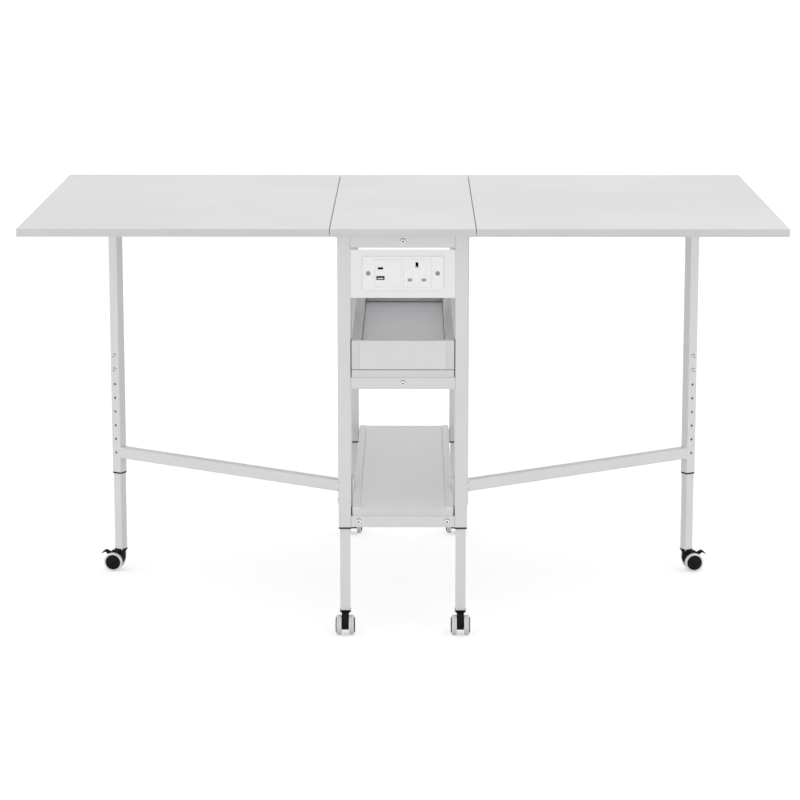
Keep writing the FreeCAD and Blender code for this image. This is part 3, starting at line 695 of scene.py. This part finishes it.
def fork(name, slotted):
    """One caster fork about its stem, trailing towards +X."""
    web = cut_plate("web", fork_outline, -web_half, web_half)
    ease(web, 1.0, 3, level_sides)
    if slotted:
        carve(web, slab("lever_slot",
                        (lever_pin[0] - slot_margin, -slot_half, lever_pin[1] - slot_margin),
                        (slot_end, slot_half, slot_end)))
    flange = turned("flange", ((0, 38.0), (7.2, 38.0), (7.6, 40.0), (8.8, 41.8), (10.8, 43.0),
                               (11.5, 43.6), (11.6, 44.4), (11.6, 45.4), (11.2, 46.0), (5.5, 46.0),
                               (5.5, 66.0), (5.0, 66.6), (5.0, 68.4), (5.5, 69.0), (5.5, 71.8),
                               (4.4, 73.0), (0, 73.0)))
    boss = settle(turned("boss", ((0, -7.3), (4.6, -7.3), (4.9, -6.9), (4.9, 6.9), (4.6, 7.3),
                                  (0, 7.3)), 24), (trail, 0, axle_z), (pi / 2, 0, 0))
    parts = [web, flange, boss]
    if slotted:
        pin = settle(turned("pin", ((0, -6.9), (1.5, -6.9), (1.5, 6.9), (0, 6.9)), 16),
                     (lever_pin[0], 0, lever_pin[1]), (pi / 2, 0, 0))
        parts.append(pin)
    piece = join_as(name, parts)
    smooth(piece, 35.0)
    return piece


plain_fork, slotted_fork = fork("plain_fork", False), fork("slotted_fork", True)
gate_turn = radians(8.0)
caster_turns = {"front_left": -pi / 2, "front_right": -pi / 2, "back_left": pi / 2,
                "back_right": pi / 2, "left_gate": pi - gate_turn, "right_gate": gate_turn}
for name, x, y, turn, size in legs:
    master = slotted_fork if "gate" in name else plain_fork
    piece = settle(another(master, name + "_fork"), (x, y, 0), (0, 0, caster_turns[name]))
    hand_over(piece, name + "_caster", "black_plastic", (black_nylon,), name + "_caster")
discard(plain_fork, slotted_fork)


# The wheels
# Twin wheels on one axle: a black nylon hub with a shallow dish and a centre cap, and a pale
# polyurethane tread cast round it, with a groove round the middle. The hub stands proud, and the
# running face of the tread is painted a little greyer than its flanks, as painted shade.

tread_grain = {"clouds": 70.0, "specks": 1200.0, "fine": 2600.0, "ripple": 900.0, "reach": 0.5,
               "Specular_IOR_Level": 0.4}
pale_tread = finish("pale_tread", (0.93, 0.93, 0.92), (0.89, 0.89, 0.88), (0.74, 0.74, 0.725),
                    (0.5, 0.66), 0.03, **tread_grain)
running_face_shade = finish("running_face_shade", (0.74, 0.74, 0.73), (0.70, 0.70, 0.69), (0.66, 0.66, 0.65),
                      (0.55, 0.7), 0.03, **tread_grain)
running_radius = 19.2
wheel_inner = 7.35
tread_outline = ((16.0, 0.5), (18.6, 0.0), (19.6, 0.5), (20.0, 1.5), (20.0, 4.5), (19.3, 4.8),
                 (19.3, 5.4), (20.0, 5.7), (20.0, 8.3), (19.6, 9.3), (18.6, 9.8), (16.6, 9.9),
                 (16.0, 9.6), (16.0, 0.5))
hub_outline = ((0, 0.2), (5.2, 0.2), (5.6, 0.9), (15.0, 0.9), (16.1, 0.6), (16.1, 9.7),
               (15.7, 10.0), (15.7, 11.1), (15.45, 11.6), (14.9, 11.85), (14.3, 11.75),
               (13.7, 11.3), (6.4, 11.4), (5.9, 11.55), (5.6, 11.9), (4.4, 12.1), (0, 12.2))


def wheel(name):
    """One wheel, its axis upright at the origin and its outer face up."""
    tread, hub = turned("tread", tread_outline, 56), turned("hub", hub_outline, 56)
    take(tread)
    bpy.ops.object.mode_set(mode="EDIT")
    bpy.ops.mesh.select_all(action="SELECT")
    bpy.ops.mesh.normals_make_consistent(inside=False)
    put_away()
    coat(tread, pale_tread, running_face_shade)
    # Faces beyond the running radius take the greyer copy of the tread: painted shade.
    for face in tread.data.polygons:
        if face.center.xy.length > running_radius * mm:
            face.material_index = 1
    smooth(tread, 40.0)
    smooth(coat(hub, black_nylon), 28.0)
    return join_as(name, [tread, hub])


one_wheel = wheel("one_wheel")
axle = turned("axle", ((0, -7.6), (2.5, -7.6), (2.5, 7.6), (0, 7.6)), 20)
coat(axle, black_nylon)
for name, x, y, turn, size in legs:
    pair = [settle(another(one_wheel, "wheel"), (trail, side * wheel_inner, axle_z),
                   (-side * pi / 2, 0, 0)) for side in (-1, 1)]
    pair.append(settle(another(axle, "axle"), (trail, 0, axle_z), (pi / 2, 0, 0)))
    piece = settle(join_as(name + "_wheel_pair", pair), (x, y, 0), (0, 0, caster_turns[name]))
    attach(piece, name + "_wheels")
    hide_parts(name + "_wheels")
discard(one_wheel, axle)


# The brake levers
# A nylon toe lever on each gate caster arches up and out over the wheels from its pin in the
# fork, and widens into a ribbed pedal with a turned-down lip.

lever_outline = ((-2.9, -0.6), (-2.8, 1.0), (-2.1, 2.1), (-1.0, 2.5), (1.5, 2.7), (4.5, 2.9),
                 (6.2, 3.6), (8.0, 4.9), (10.2, 6.0), (12.8, 6.5), (15.4, 6.2), (18.0, 5.1),
                 (20.8, 3.0), (23.4, 0.4), (22.9, -0.5), (22.0, -0.6), (20.2, 0.7), (18.0, 1.6),
                 (15.6, 1.8), (13.4, 1.1), (12.7, -0.4), (12.4, -2.2), (9.0, -1.0), (5.4, -1.7),
                 (2.0, -2.6), (0.6, -2.9), (-1.4, -2.6))
pedal_outline = lever_outline[9:16] + ((19.7, 1.0), (17.0, 2.5), (14.8, 3.3), (12.8, 3.5))
arm_half, pedal_half = 4.0, 8.0
rib_spots = ((14.6, 6.3), (17.4, 5.35), (19.9, 3.65))
rib_half, rib_half_length, rib_root = 0.45, 6.2, 0.9


def lever(name):
    """One brake lever about its pin at the origin, reaching towards +X."""
    arm = cut_plate("arm", lever_outline, -arm_half, arm_half)
    ease(arm, 0.7, 3, level_sides)
    pedal = cut_plate("pedal", pedal_outline, -pedal_half, pedal_half)
    ease(pedal, 0.9, 3, level_sides)
    ribs = []
    for x, z in rib_spots:
        rib = slab("rib", (x - rib_half, -rib_half_length, z - rib_root),
                   (x + rib_half, rib_half_length, z + rib_half))
        ease(rib, 0.3, 2, lambda e: True)
        ribs.append(rib)
    piece = join_as(name, [arm, pedal] + ribs)
    smooth(piece, 40.0)
    return piece


one_lever = lever("one_lever")
for name, x, y, turn, size in legs:
    if "gate" in name:
        piece = settle(another(one_lever, name + "_brake_lever"), (lever_pin[0], 0, lever_pin[1]))
        settle(piece, (x, y, 0), (0, 0, caster_turns[name]))
        hand_over(piece, name + "_brake", "black_plastic", (black_nylon,), name + "_brake")
discard(one_lever)


# The gates
# Two gates of welded square tube swing out on either side: a hinge tube, two bars and a leg tube
# with its row of lock holes. They take a whiter copy of the frame's powder coat, as painted light,
# over short fillets of weld, and the legs are bare steel inside, lined in near black as painted
# shade.

# A whiter copy of the frame's powder coat for the gates and their welds: painted light.
gate_coat_painted_light = finish("gate_coat_painted_light", (0.835, 0.837, 0.842), (0.81, 0.813, 0.82), (0.76, 0.76, 0.76),
                   (0.36, 0.5), 0.028, clouds=7.0, **powder_grain)
dress(gate_coat_painted_light, "left_gate_frame", "right_gate_frame", "left_gate_leg", "right_gate_leg")
dress(powder_coat, "gate_brackets")
# A near-black lining inside each gate leg, where the lock holes show the inside of the tube:
# painted shade.
painted_shade_inside = finish("painted_shade_inside", (0.012, 0.012, 0.013), (0.02, 0.018, 0.016),
                     (0.03, 0.03, 0.03), (0.6, 0.8), 0.01, clouds=60.0, reach=0.2,
                     Specular_IOR_Level=0.2)
lining_half, lining_bore = 7.98, 7.7
lining_low, lining_high = 50.0, 487.5
gate_weld_heights = (251.0, 274.5, 775.0)
gate_weld_run = 18.0
for side, label in left_and_right:
    lining = slab(label + "_leg_lining", (-lining_half, -lining_half, lining_low),
                  (lining_half, lining_half, lining_high))
    carve(lining, slab("bore", (-lining_bore, -lining_bore, 0), (lining_bore, lining_bore, 500)))
    settle(lining, on_gate(side, arm_length, 0, 0), (0, 0, side * arm_angle))
    hand_over(lining, label + "_gate_leg", "white_steel", (painted_shade_inside,))
for side, label in left_and_right:
    beads = [settle(weld_bead((0, 0, 0), gate_weld_run),
                    on_gate(side, along, 0, z), (0, 0, side * arm_angle))
             for along in (gate_tube_half, arm_length - gate_tube_half)
             for z in gate_weld_heights]
    hand_over(join_as(label + "_gate_welds", beads), label + "_gate", "white_steel", (gate_coat_painted_light,))


# The gate bushes and glides
# Moulded white nylon: bushes that run on the pivot pins in both ends of the hinge tube, and a
# cap on the leg tube that the leaf slides over and rests on.

white_nylon = finish("white_nylon", (0.80, 0.80, 0.795), (0.77, 0.77, 0.76), (0.70, 0.70, 0.69),
                     (0.4, 0.55), 0.02, clouds=45.0, specks=800.0, reach=0.6)
dress(white_nylon, "left_gate_bushes", "right_gate_bushes", "left_gate_glide", "right_gate_glide")


# The leaf hinges and the top brackets
# Pressed steel, zinc plated: three butt hinges under each seam and four angles that hold the
# centre board to the cross rails, all fixed with pan-head chipboard screws.

bright_zinc = finish("bright_zinc", (0.64, 0.65, 0.66), (0.54, 0.55, 0.55), (0.8, 0.8, 0.8),
                     (0.28, 0.46), 0.012, clouds=70.0, specks=900.0, fine=1500.0, reach=0.5,
                     Metallic=1.0)
dress(bright_zinc, "centre_hinge_flaps", "left_hinge_flaps", "right_hinge_flaps", "top_brackets")

pan_head = turned("pan_head", ((0, -0.5), (1.7, -0.5), (1.7, 0.0), (3.3, 0.0), (3.5, 0.25),
                               (3.35, 0.8), (2.7, 1.3), (1.6, 1.6), (0, 1.65)), 24)
coat(pan_head, bright_zinc)
for half_x, half_y in ((2.0, 0.45), (0.45, 2.0)):
    carve(pan_head, coat(slab("drive", (-half_x, -half_y, 0.5), (half_x, half_y, 3.0)), drive_dark))
smooth(pan_head, 40.0)


def pan_heads(name, body, places):
    """A group of pan heads, each given by its spot and the way its axis is turned."""
    piece = join_as(name, [settle(another(pan_head, "head"), spot, turn) for spot, turn in places])
    hand_over(piece, body, "zinc_steel", ())


face_down = (pi, 0, 0)
flap_bottom, plate_bottom = 803.0, 802.0
hinge_middles, hinge_screw_pitch = (-330.0, 0.0, 285.0), 20.0
hinge_rows = [y + hinge_screw_pitch * step for y in hinge_middles for step in (-1, 0, 1)]
fixed_flap_x, leaf_flap_x = 123.0, 162.2
bracket_x = 61.5
bracket_board_y, bracket_rail_y, bracket_rail_z = 387.0, 397.0, 791.0
pivot_plate_spots = ((90.0, -257.0), (90.0, -223.5), (103.0, -240.3))
pan_heads("centre_hinge_screws", "cabinet",
          [((side * fixed_flap_x, y, flap_bottom), face_down) for side in (-1, 1)
           for y in hinge_rows])
for side, label in left_and_right:
    pan_heads(label + "_hinge_screws", label + "_leaf",
              [((side * leaf_flap_x, y, flap_bottom), face_down) for y in hinge_rows])
pan_heads("top_bracket_screws", "cabinet",
          [((x, end * bracket_board_y, flap_bottom), face_down)
           for x in (-bracket_x, bracket_x) for end in (-1, 1)]
          + [((x, end * bracket_rail_y, bracket_rail_z), facing["front" if end > 0 else "back"])
             for x in (-bracket_x, bracket_x) for end in (-1, 1)])
pan_heads("pivot_plate_screws", "cabinet",
          [((side * x, y, plate_bottom), face_down) for side in (-1, 1)
           for x, y in pivot_plate_spots])


# The storage bin
# Five faced and banded boards, glued and dowelled: a base that lies on the middle rails, two long
# sides, and a front and back let in between them. The walls stand on near-black strips along the
# base, and near-black pads fill the gaps between the bin, the tray and the posts: both are painted
# shade. The base and sides are faced in a lighter copy of the melamine, as painted light, the front
# and back in a darker copy, as painted shade, and their bands are darker than the faces, as painted
# shade.

bin_low, bin_floor, bin_rim = 522.5, 537.5, 596.0
bin_half, bin_wall, bin_end = 101.0, 86.0, 424.0
# Copies of the top's melamine, set by the light: a lighter face for the base, sides and tray is
# painted light, a darker face for the front and back is painted shade, and their band is painted
# shade on the narrow sides.
shelf_melamine_painted_light = finish("shelf_melamine_painted_light", (0.925, 0.929, 0.935), (0.91, 0.914, 0.92),
                        (0.84, 0.84, 0.83), (0.34, 0.46), 0.012, **melamine_grain)
bin_band = finish("bin_band", (0.70, 0.704, 0.707), (0.68, 0.684, 0.687), (0.65, 0.65, 0.64),
                  (0.36, 0.48), 0.01, clouds=9.0, fine=1800.0, Specular_IOR_Level=0.45)
bin_face = finish("bin_face", (0.75, 0.754, 0.76), (0.735, 0.739, 0.745), (0.70, 0.70, 0.69),
                  (0.34, 0.46), 0.012, **melamine_grain)
# Near black, for the strips and pads where the bin and tray meet the base and the posts: painted
# shade.
painted_shade_black = finish("painted_shade_black", (0.01, 0.01, 0.01), (0.018, 0.018, 0.018), (0.03, 0.03, 0.03),
                    (0.8, 0.95), 0.03, clouds=90.0, fine=1600.0, reach=0.2,
                    Specular_IOR_Level=0.15)
shade_strip_height = 0.9
shade_strip_inset = 0.3
bin_board = 15.0
post_inner_face = 102.45
shade_pad_start, shade_pad_end = 400.0, bin_end - 0.4
tray_shade_pad_low, tray_shade_pad_high = 243.3, 258.5
banded_board("bin_base_faced", (-bin_half, -bin_end, bin_low), (bin_half, bin_end, bin_floor),
             "cabinet", (shelf_melamine_painted_light, bin_band))
for side, label in left_and_right:
    banded_board("bin_" + label + "_side_faced", (side * bin_wall, -bin_end, bin_floor + shade_strip_height),
                 (side * bin_half, bin_end, bin_rim), "cabinet", (shelf_melamine_painted_light, bin_band))
for end, label in front_and_back:
    banded_board("bin_" + label + "_faced",
                 (-bin_wall, end * (bin_end - bin_board), bin_floor + shade_strip_height),
                 (bin_wall, end * bin_end, bin_rim), "cabinet", (bin_face, bin_band))
shade_pieces = []
for side in (-1, 1):
    shade_pieces.append(slab("side_shade_strip", (side * (bin_wall - 0.8), shade_strip_inset - bin_end, bin_floor),
                     (side * (bin_half - shade_strip_inset), bin_end - shade_strip_inset, bin_floor + shade_strip_height)))
    shade_pieces.append(slab("end_shade_strip", (-bin_wall, side * (bin_end - bin_board - 0.8), bin_floor),
                     (bin_wall, side * (bin_end - shade_strip_inset), bin_floor + shade_strip_height)))
    for end in (-1, 1):
        shade_pieces.append(slab("bin_pad", (side * (bin_half + 0.05), end * shade_pad_start, bin_low + 0.3),
                         (side * post_inner_face, end * shade_pad_end, bin_rim - 0.5)))
        if end < 0:
            shade_pieces.append(slab("tray_shade_pad", (side * bin_half, end * shade_pad_start, tray_shade_pad_low),
                             (side * post_inner_face, end * shade_pad_end, tray_shade_pad_high)))
hand_over(join_as("bin_foam", shade_pieces), "cabinet", "black_plastic", (painted_shade_black,))


# The lower tray
# One faced board on the bottom rails with rounded corners at the back, a shallow groove along
# each side and a thin plastic strip glued on outside the groove.

tray_low, tray_high = 243.0, 258.0
tray_half, tray_back = 99.823, 389.0
strip_inner = 85.823
groove_depth = 1.2
strip_height = 1.5


def back_corners(edge):
    """The upright edges at the back of a piece."""
    return runs_along(edge, 2) and middle(edge).y > 0


# The tray and its strips take the lighter copy of the melamine: painted light.
tray = banded_board("tray_board_faced", (-tray_half, -bin_end, tray_low),
                    (tray_half, tray_back, tray_high), "cabinet", (shelf_melamine_painted_light, bin_band),
                    back_corners)
strips = []
for side in (-1, 1):
    carve(tray, slab("groove", (side * strip_inner, -500, tray_high - groove_depth),
                     (side * (strip_inner - groove_depth), 500, tray_high + 5)))
    strip = slab("strip", (side * strip_inner, -bin_end, tray_high),
                 (side * tray_half, tray_back, tray_high + strip_height))
    ease(strip, corner_radius, 6, lambda e: back_corners(e) and abs(middle(e).x) > 90)
    ease(strip, 0.5, 3, lambda e: middle(e).z > tray_high + strip_height - 0.1)
    smooth(strip)
    strips.append(strip)
hand_over(join_as("tray_edge_strips", strips), "cabinet", "white_board", (shelf_melamine_painted_light,),
          "tray_strips")


# The power box
# A folded steel box between the front posts, welded to them. Its front sheet stands up above its
# body, and a cover is screwed on behind. It has a whiter powder coat than the frame.

box_paint = finish("box_paint", (0.895, 0.897, 0.9), (0.88, 0.882, 0.886), (0.82, 0.82, 0.82),
                   (0.38, 0.5), 0.024, clouds=9.0, **powder_grain)
dress(box_paint, "power_box", "power_box_cover")
cover_back = -351.5
cover_screw_x, cover_screw_heights = 94.0, (689.0, 752.0)
pan_heads("cover_screws", "cabinet",
          [((x, cover_back, z), facing["back"]) for x in (-cover_screw_x, cover_screw_x)
           for z in cover_screw_heights])
discard(pan_head)


# The cable gland
# A black nylon gland in the middle of the cover: a hexagon nut, a domed cap that squeezes the
# lead, and a threaded sleeve through the sheet.

plate_z = 730.0
plate_half_height = 33.25
gland = turned("cable_gland_body", ((4.0, -5.5), (6.95, -5.5), (6.95, 5.0), (7.0, 6.2),
                                    (6.9, 11.0), (6.4, 13.0), (5.4, 14.2), (4.6, 14.5),
                                    (4.0, 14.2), (4.0, -5.5)), 40)
nut = hexagon("nut", 17.2, 0.0, 5.0)
carve(nut, turned("nut_bore", ((0, -2), (6.8, -2), (6.8, 8), (0, 8)), 40))
ease(nut, 0.5, 2, lambda e: e.calc_face_angle(0.0) > 0.9 and middle(e).to_2d().length > 8.0)
gland = settle(join_as("cable_gland_body", [gland, nut]), (0, cover_back, plate_z),
               facing["back"])
smooth(gland, 35.0)
hand_over(gland, "cabinet", "black_plastic", (black_nylon,), "cable_gland")


# The face plate
# A moulded white plate with rounded corners and rim, screwed over the window of the box, with
# one opening for each module.

plate_plastic = finish("plate_plastic", (0.93, 0.93, 0.925), (0.915, 0.915, 0.91),
                       (0.86, 0.86, 0.85), (0.24, 0.34), 0.006, clouds=20.0, specks=500.0,
                       fine=3000.0, reach=0.5)
plate_front, box_front = -427.0, -423.0
plate_half_width = 78.5
usb_side = (-54.8, -3.8, 54.7)
socket_side = (1.0, 56.4, 56.9)
plate = slab("face_plate_moulding",
             (-plate_half_width, plate_front, plate_z - plate_half_height),
             (plate_half_width, box_front, plate_z + plate_half_height))
ease(plate, 3.0, 5, lambda e: runs_along(e, 1))
ease(plate, 1.0, 4,
     lambda e: abs(middle(e).y - plate_front) < 0.01 and e.calc_face_angle(0.0) > 0.8)
cut_start = -440
for left, right, tall in (usb_side, socket_side):
    carve(plate, slab("opening", (left, cut_start, plate_z - tall / 2),
                      (right, -410, plate_z + tall / 2)))
smooth(plate)
hand_over(plate, "cabinet", "white_plastic", (plate_plastic,), "face_plate")


# The USB module
# A white snap-in module, proud of the plate by less than a millimetre, with a USB-C port over a
# USB-A port. The ports are dark inside; the USB-A port has a tongue tipped in white with four
# contacts under it.

port_dark = finish("port_dark", (0.012, 0.012, 0.013), (0.02, 0.02, 0.02), (0.03, 0.03, 0.03),
                   (0.5, 0.65), 0.004, clouds=200.0, reach=0.1, Specular_IOR_Level=0.2)
contact_metal = finish("contact_metal", (0.78, 0.62, 0.34), (0.7, 0.56, 0.32), (0.85, 0.7, 0.42),
                       (0.22, 0.35), 0.003, clouds=200.0, reach=0.1, Metallic=1.0)
face_front = plate_front - 0.8
module_back = -397.0
module_gap = 0.15
port_back = face_front + 12.0


def module(name, left, right, tall):
    """The parts of a snap-in module: a face that stands a little proud, and a body behind it."""
    left, right = left + module_gap, right - module_gap
    face = slab(name, (left, face_front, plate_z - tall / 2 + module_gap),
                (right, box_front, plate_z + tall / 2 - module_gap))
    ease(face, 0.5, 3, lambda e: abs(middle(e).y - face_front) < 0.01)
    body_half = min(tall, usb_side[2]) / 2 - module_gap
    body = slab("body", (left, box_front, plate_z - body_half),
                (right, module_back, plate_z + body_half))
    return [coat(face, plate_plastic), coat(body, plate_plastic)]


def hollow(parts, name, x, z, width, tall, depth, lining, corner):
    """Cuts a lined hole with rounded corners into the front of a module's parts."""
    hole = slab(name, (x - width / 2, cut_start, z - tall / 2),
                (x + width / 2, face_front + depth, z + tall / 2))
    ease(hole, corner, 6, lambda e: runs_along(e, 1))
    coat(hole, lining)
    for part in parts:
        carve(part, hole, keep_cutter=True)
    discard(hole)


port_x, c_port_z, a_port_z = -43.8, 740.0, 721.0
usb_parts = module("usb_module_moulding", *usb_side)
hollow(usb_parts, "c_port", port_x, c_port_z, 11.2, 4.6, 12.0, port_dark, 2.2)
hollow(usb_parts, "a_port", port_x, a_port_z, 16.0, 7.8, 12.0, port_dark, 0.4)
for part in usb_parts:
    smooth(part)
c_tongue_half, c_tongue_rise = 3.3, 0.35
c_tongue = slab("c_tongue", (port_x - c_tongue_half, face_front + 1.2, c_port_z - c_tongue_rise),
                (port_x + c_tongue_half, port_back, c_port_z + c_tongue_rise))
coat(c_tongue, port_dark)
tongue_half, tongue_low, tongue_high = 5.6, a_port_z - 2.1, a_port_z - 0.1
tip_back = plate_front + 0.7
a_tongue = slab("a_tongue", (port_x - tongue_half, plate_front, tongue_low),
                (port_x + tongue_half, tip_back, tongue_high))
ease(a_tongue, 0.2, 2, lambda e: True)
coat(a_tongue, plate_plastic)
a_root = slab("a_root", (port_x - tongue_half, tip_back, tongue_low),
              (port_x + tongue_half, port_back, tongue_high))
coat(a_root, port_dark)
contact_pitch = 2.5
contacts = []
for i in range(4):
    x = port_x + contact_pitch * (i - 1.5)
    contact = slab("contact", (x - 0.5, plate_front + 1.0, tongue_low - 0.2),
                   (x + 0.5, plate_front + 8.0, tongue_low + 0.05))
    contacts.append(coat(contact, contact_metal))
usb_parts += [c_tongue, a_tongue, a_root] + contacts
hand_over(join_as("usb_module_moulding", usb_parts), "cabinet", "white_plastic", (), "usb_module")


# The mains socket
# A white snap-in module with three slots for a 13 A plug: an open earth slot with a small ramp
# at its foot, and two lower slots closed by grey shutters.

shutter_grey = finish("shutter_grey", (0.42, 0.42, 0.42), (0.38, 0.38, 0.38), (0.5, 0.5, 0.5),
                      (0.35, 0.5), 0.005, clouds=120.0, reach=0.2)
socket_x, earth_z, live_z = 27.4, 746.7, 717.2
live_reach = 13.6
socket_parts = module("socket_module_moulding", *socket_side)
hollow(socket_parts, "earth_slot", socket_x, earth_z, 5.6, 10.6, 16.0, port_dark, 0.3)
for side in (-1, 1):
    hollow(socket_parts, "live_slot", socket_x + side * live_reach, live_z, 8.4, 5.6, 1.6,
           shutter_grey, 0.3)
for part in socket_parts:
    smooth(part)
earth_ramp = slab("earth_ramp", (socket_x - 1.1, face_front + 0.8, earth_z - 5.25),
                  (socket_x + 1.1, face_front + 4.0, earth_z - 3.2))
ease(earth_ramp, 0.6, 3, lambda e: middle(e).z > earth_z - 3.3)
coat(earth_ramp, plate_plastic)
hand_over(join_as("socket_module_moulding", socket_parts + [earth_ramp]), "cabinet",
          "white_plastic", (), "socket_module")


# The plate screws
# Two slotted steel screws with low cheese heads, each bedded in a dark rubber ring on the plate.

screw_steel = finish("screw_steel", (0.36, 0.36, 0.37), (0.31, 0.31, 0.32), (0.55, 0.55, 0.55),
                     (0.3, 0.42), 0.004, clouds=120.0, reach=0.2, Metallic=1.0)
slotted_head = turned("slotted_head", ((0, -1.0), (1.7, -1.0), (1.7, 0.0), (3.0, 0.0), (3.1, 0.1),
                                       (3.1, 0.55), (2.9, 0.85), (2.5, 1.0), (0, 1.0)), 32)
coat(slotted_head, screw_steel)
carve(slotted_head, slab("slot", (-0.5, -3.4, 0.35), (0.5, 3.4, 3.0)))
bed = turned("bed", ((2.7, 0.0), (4.1, 0.0), (4.1, 0.3), (3.8, 0.5), (2.7, 0.5), (2.7, 0.0)))
smooth(slotted_head, 40.0)
smooth(coat(bed, drive_dark), 40.0)
one_screw = join_as("one_screw", [slotted_head, bed])
plate_screw_x = 67.8
plate_heads = [settle(another(one_screw, "head"), (x, plate_front, plate_z), facing["front"])
               for x in (-plate_screw_x, plate_screw_x)]
hand_over(join_as("plate_screw_heads", plate_heads), "cabinet", "zinc_steel", (), "plate_screws")
discard(one_screw)
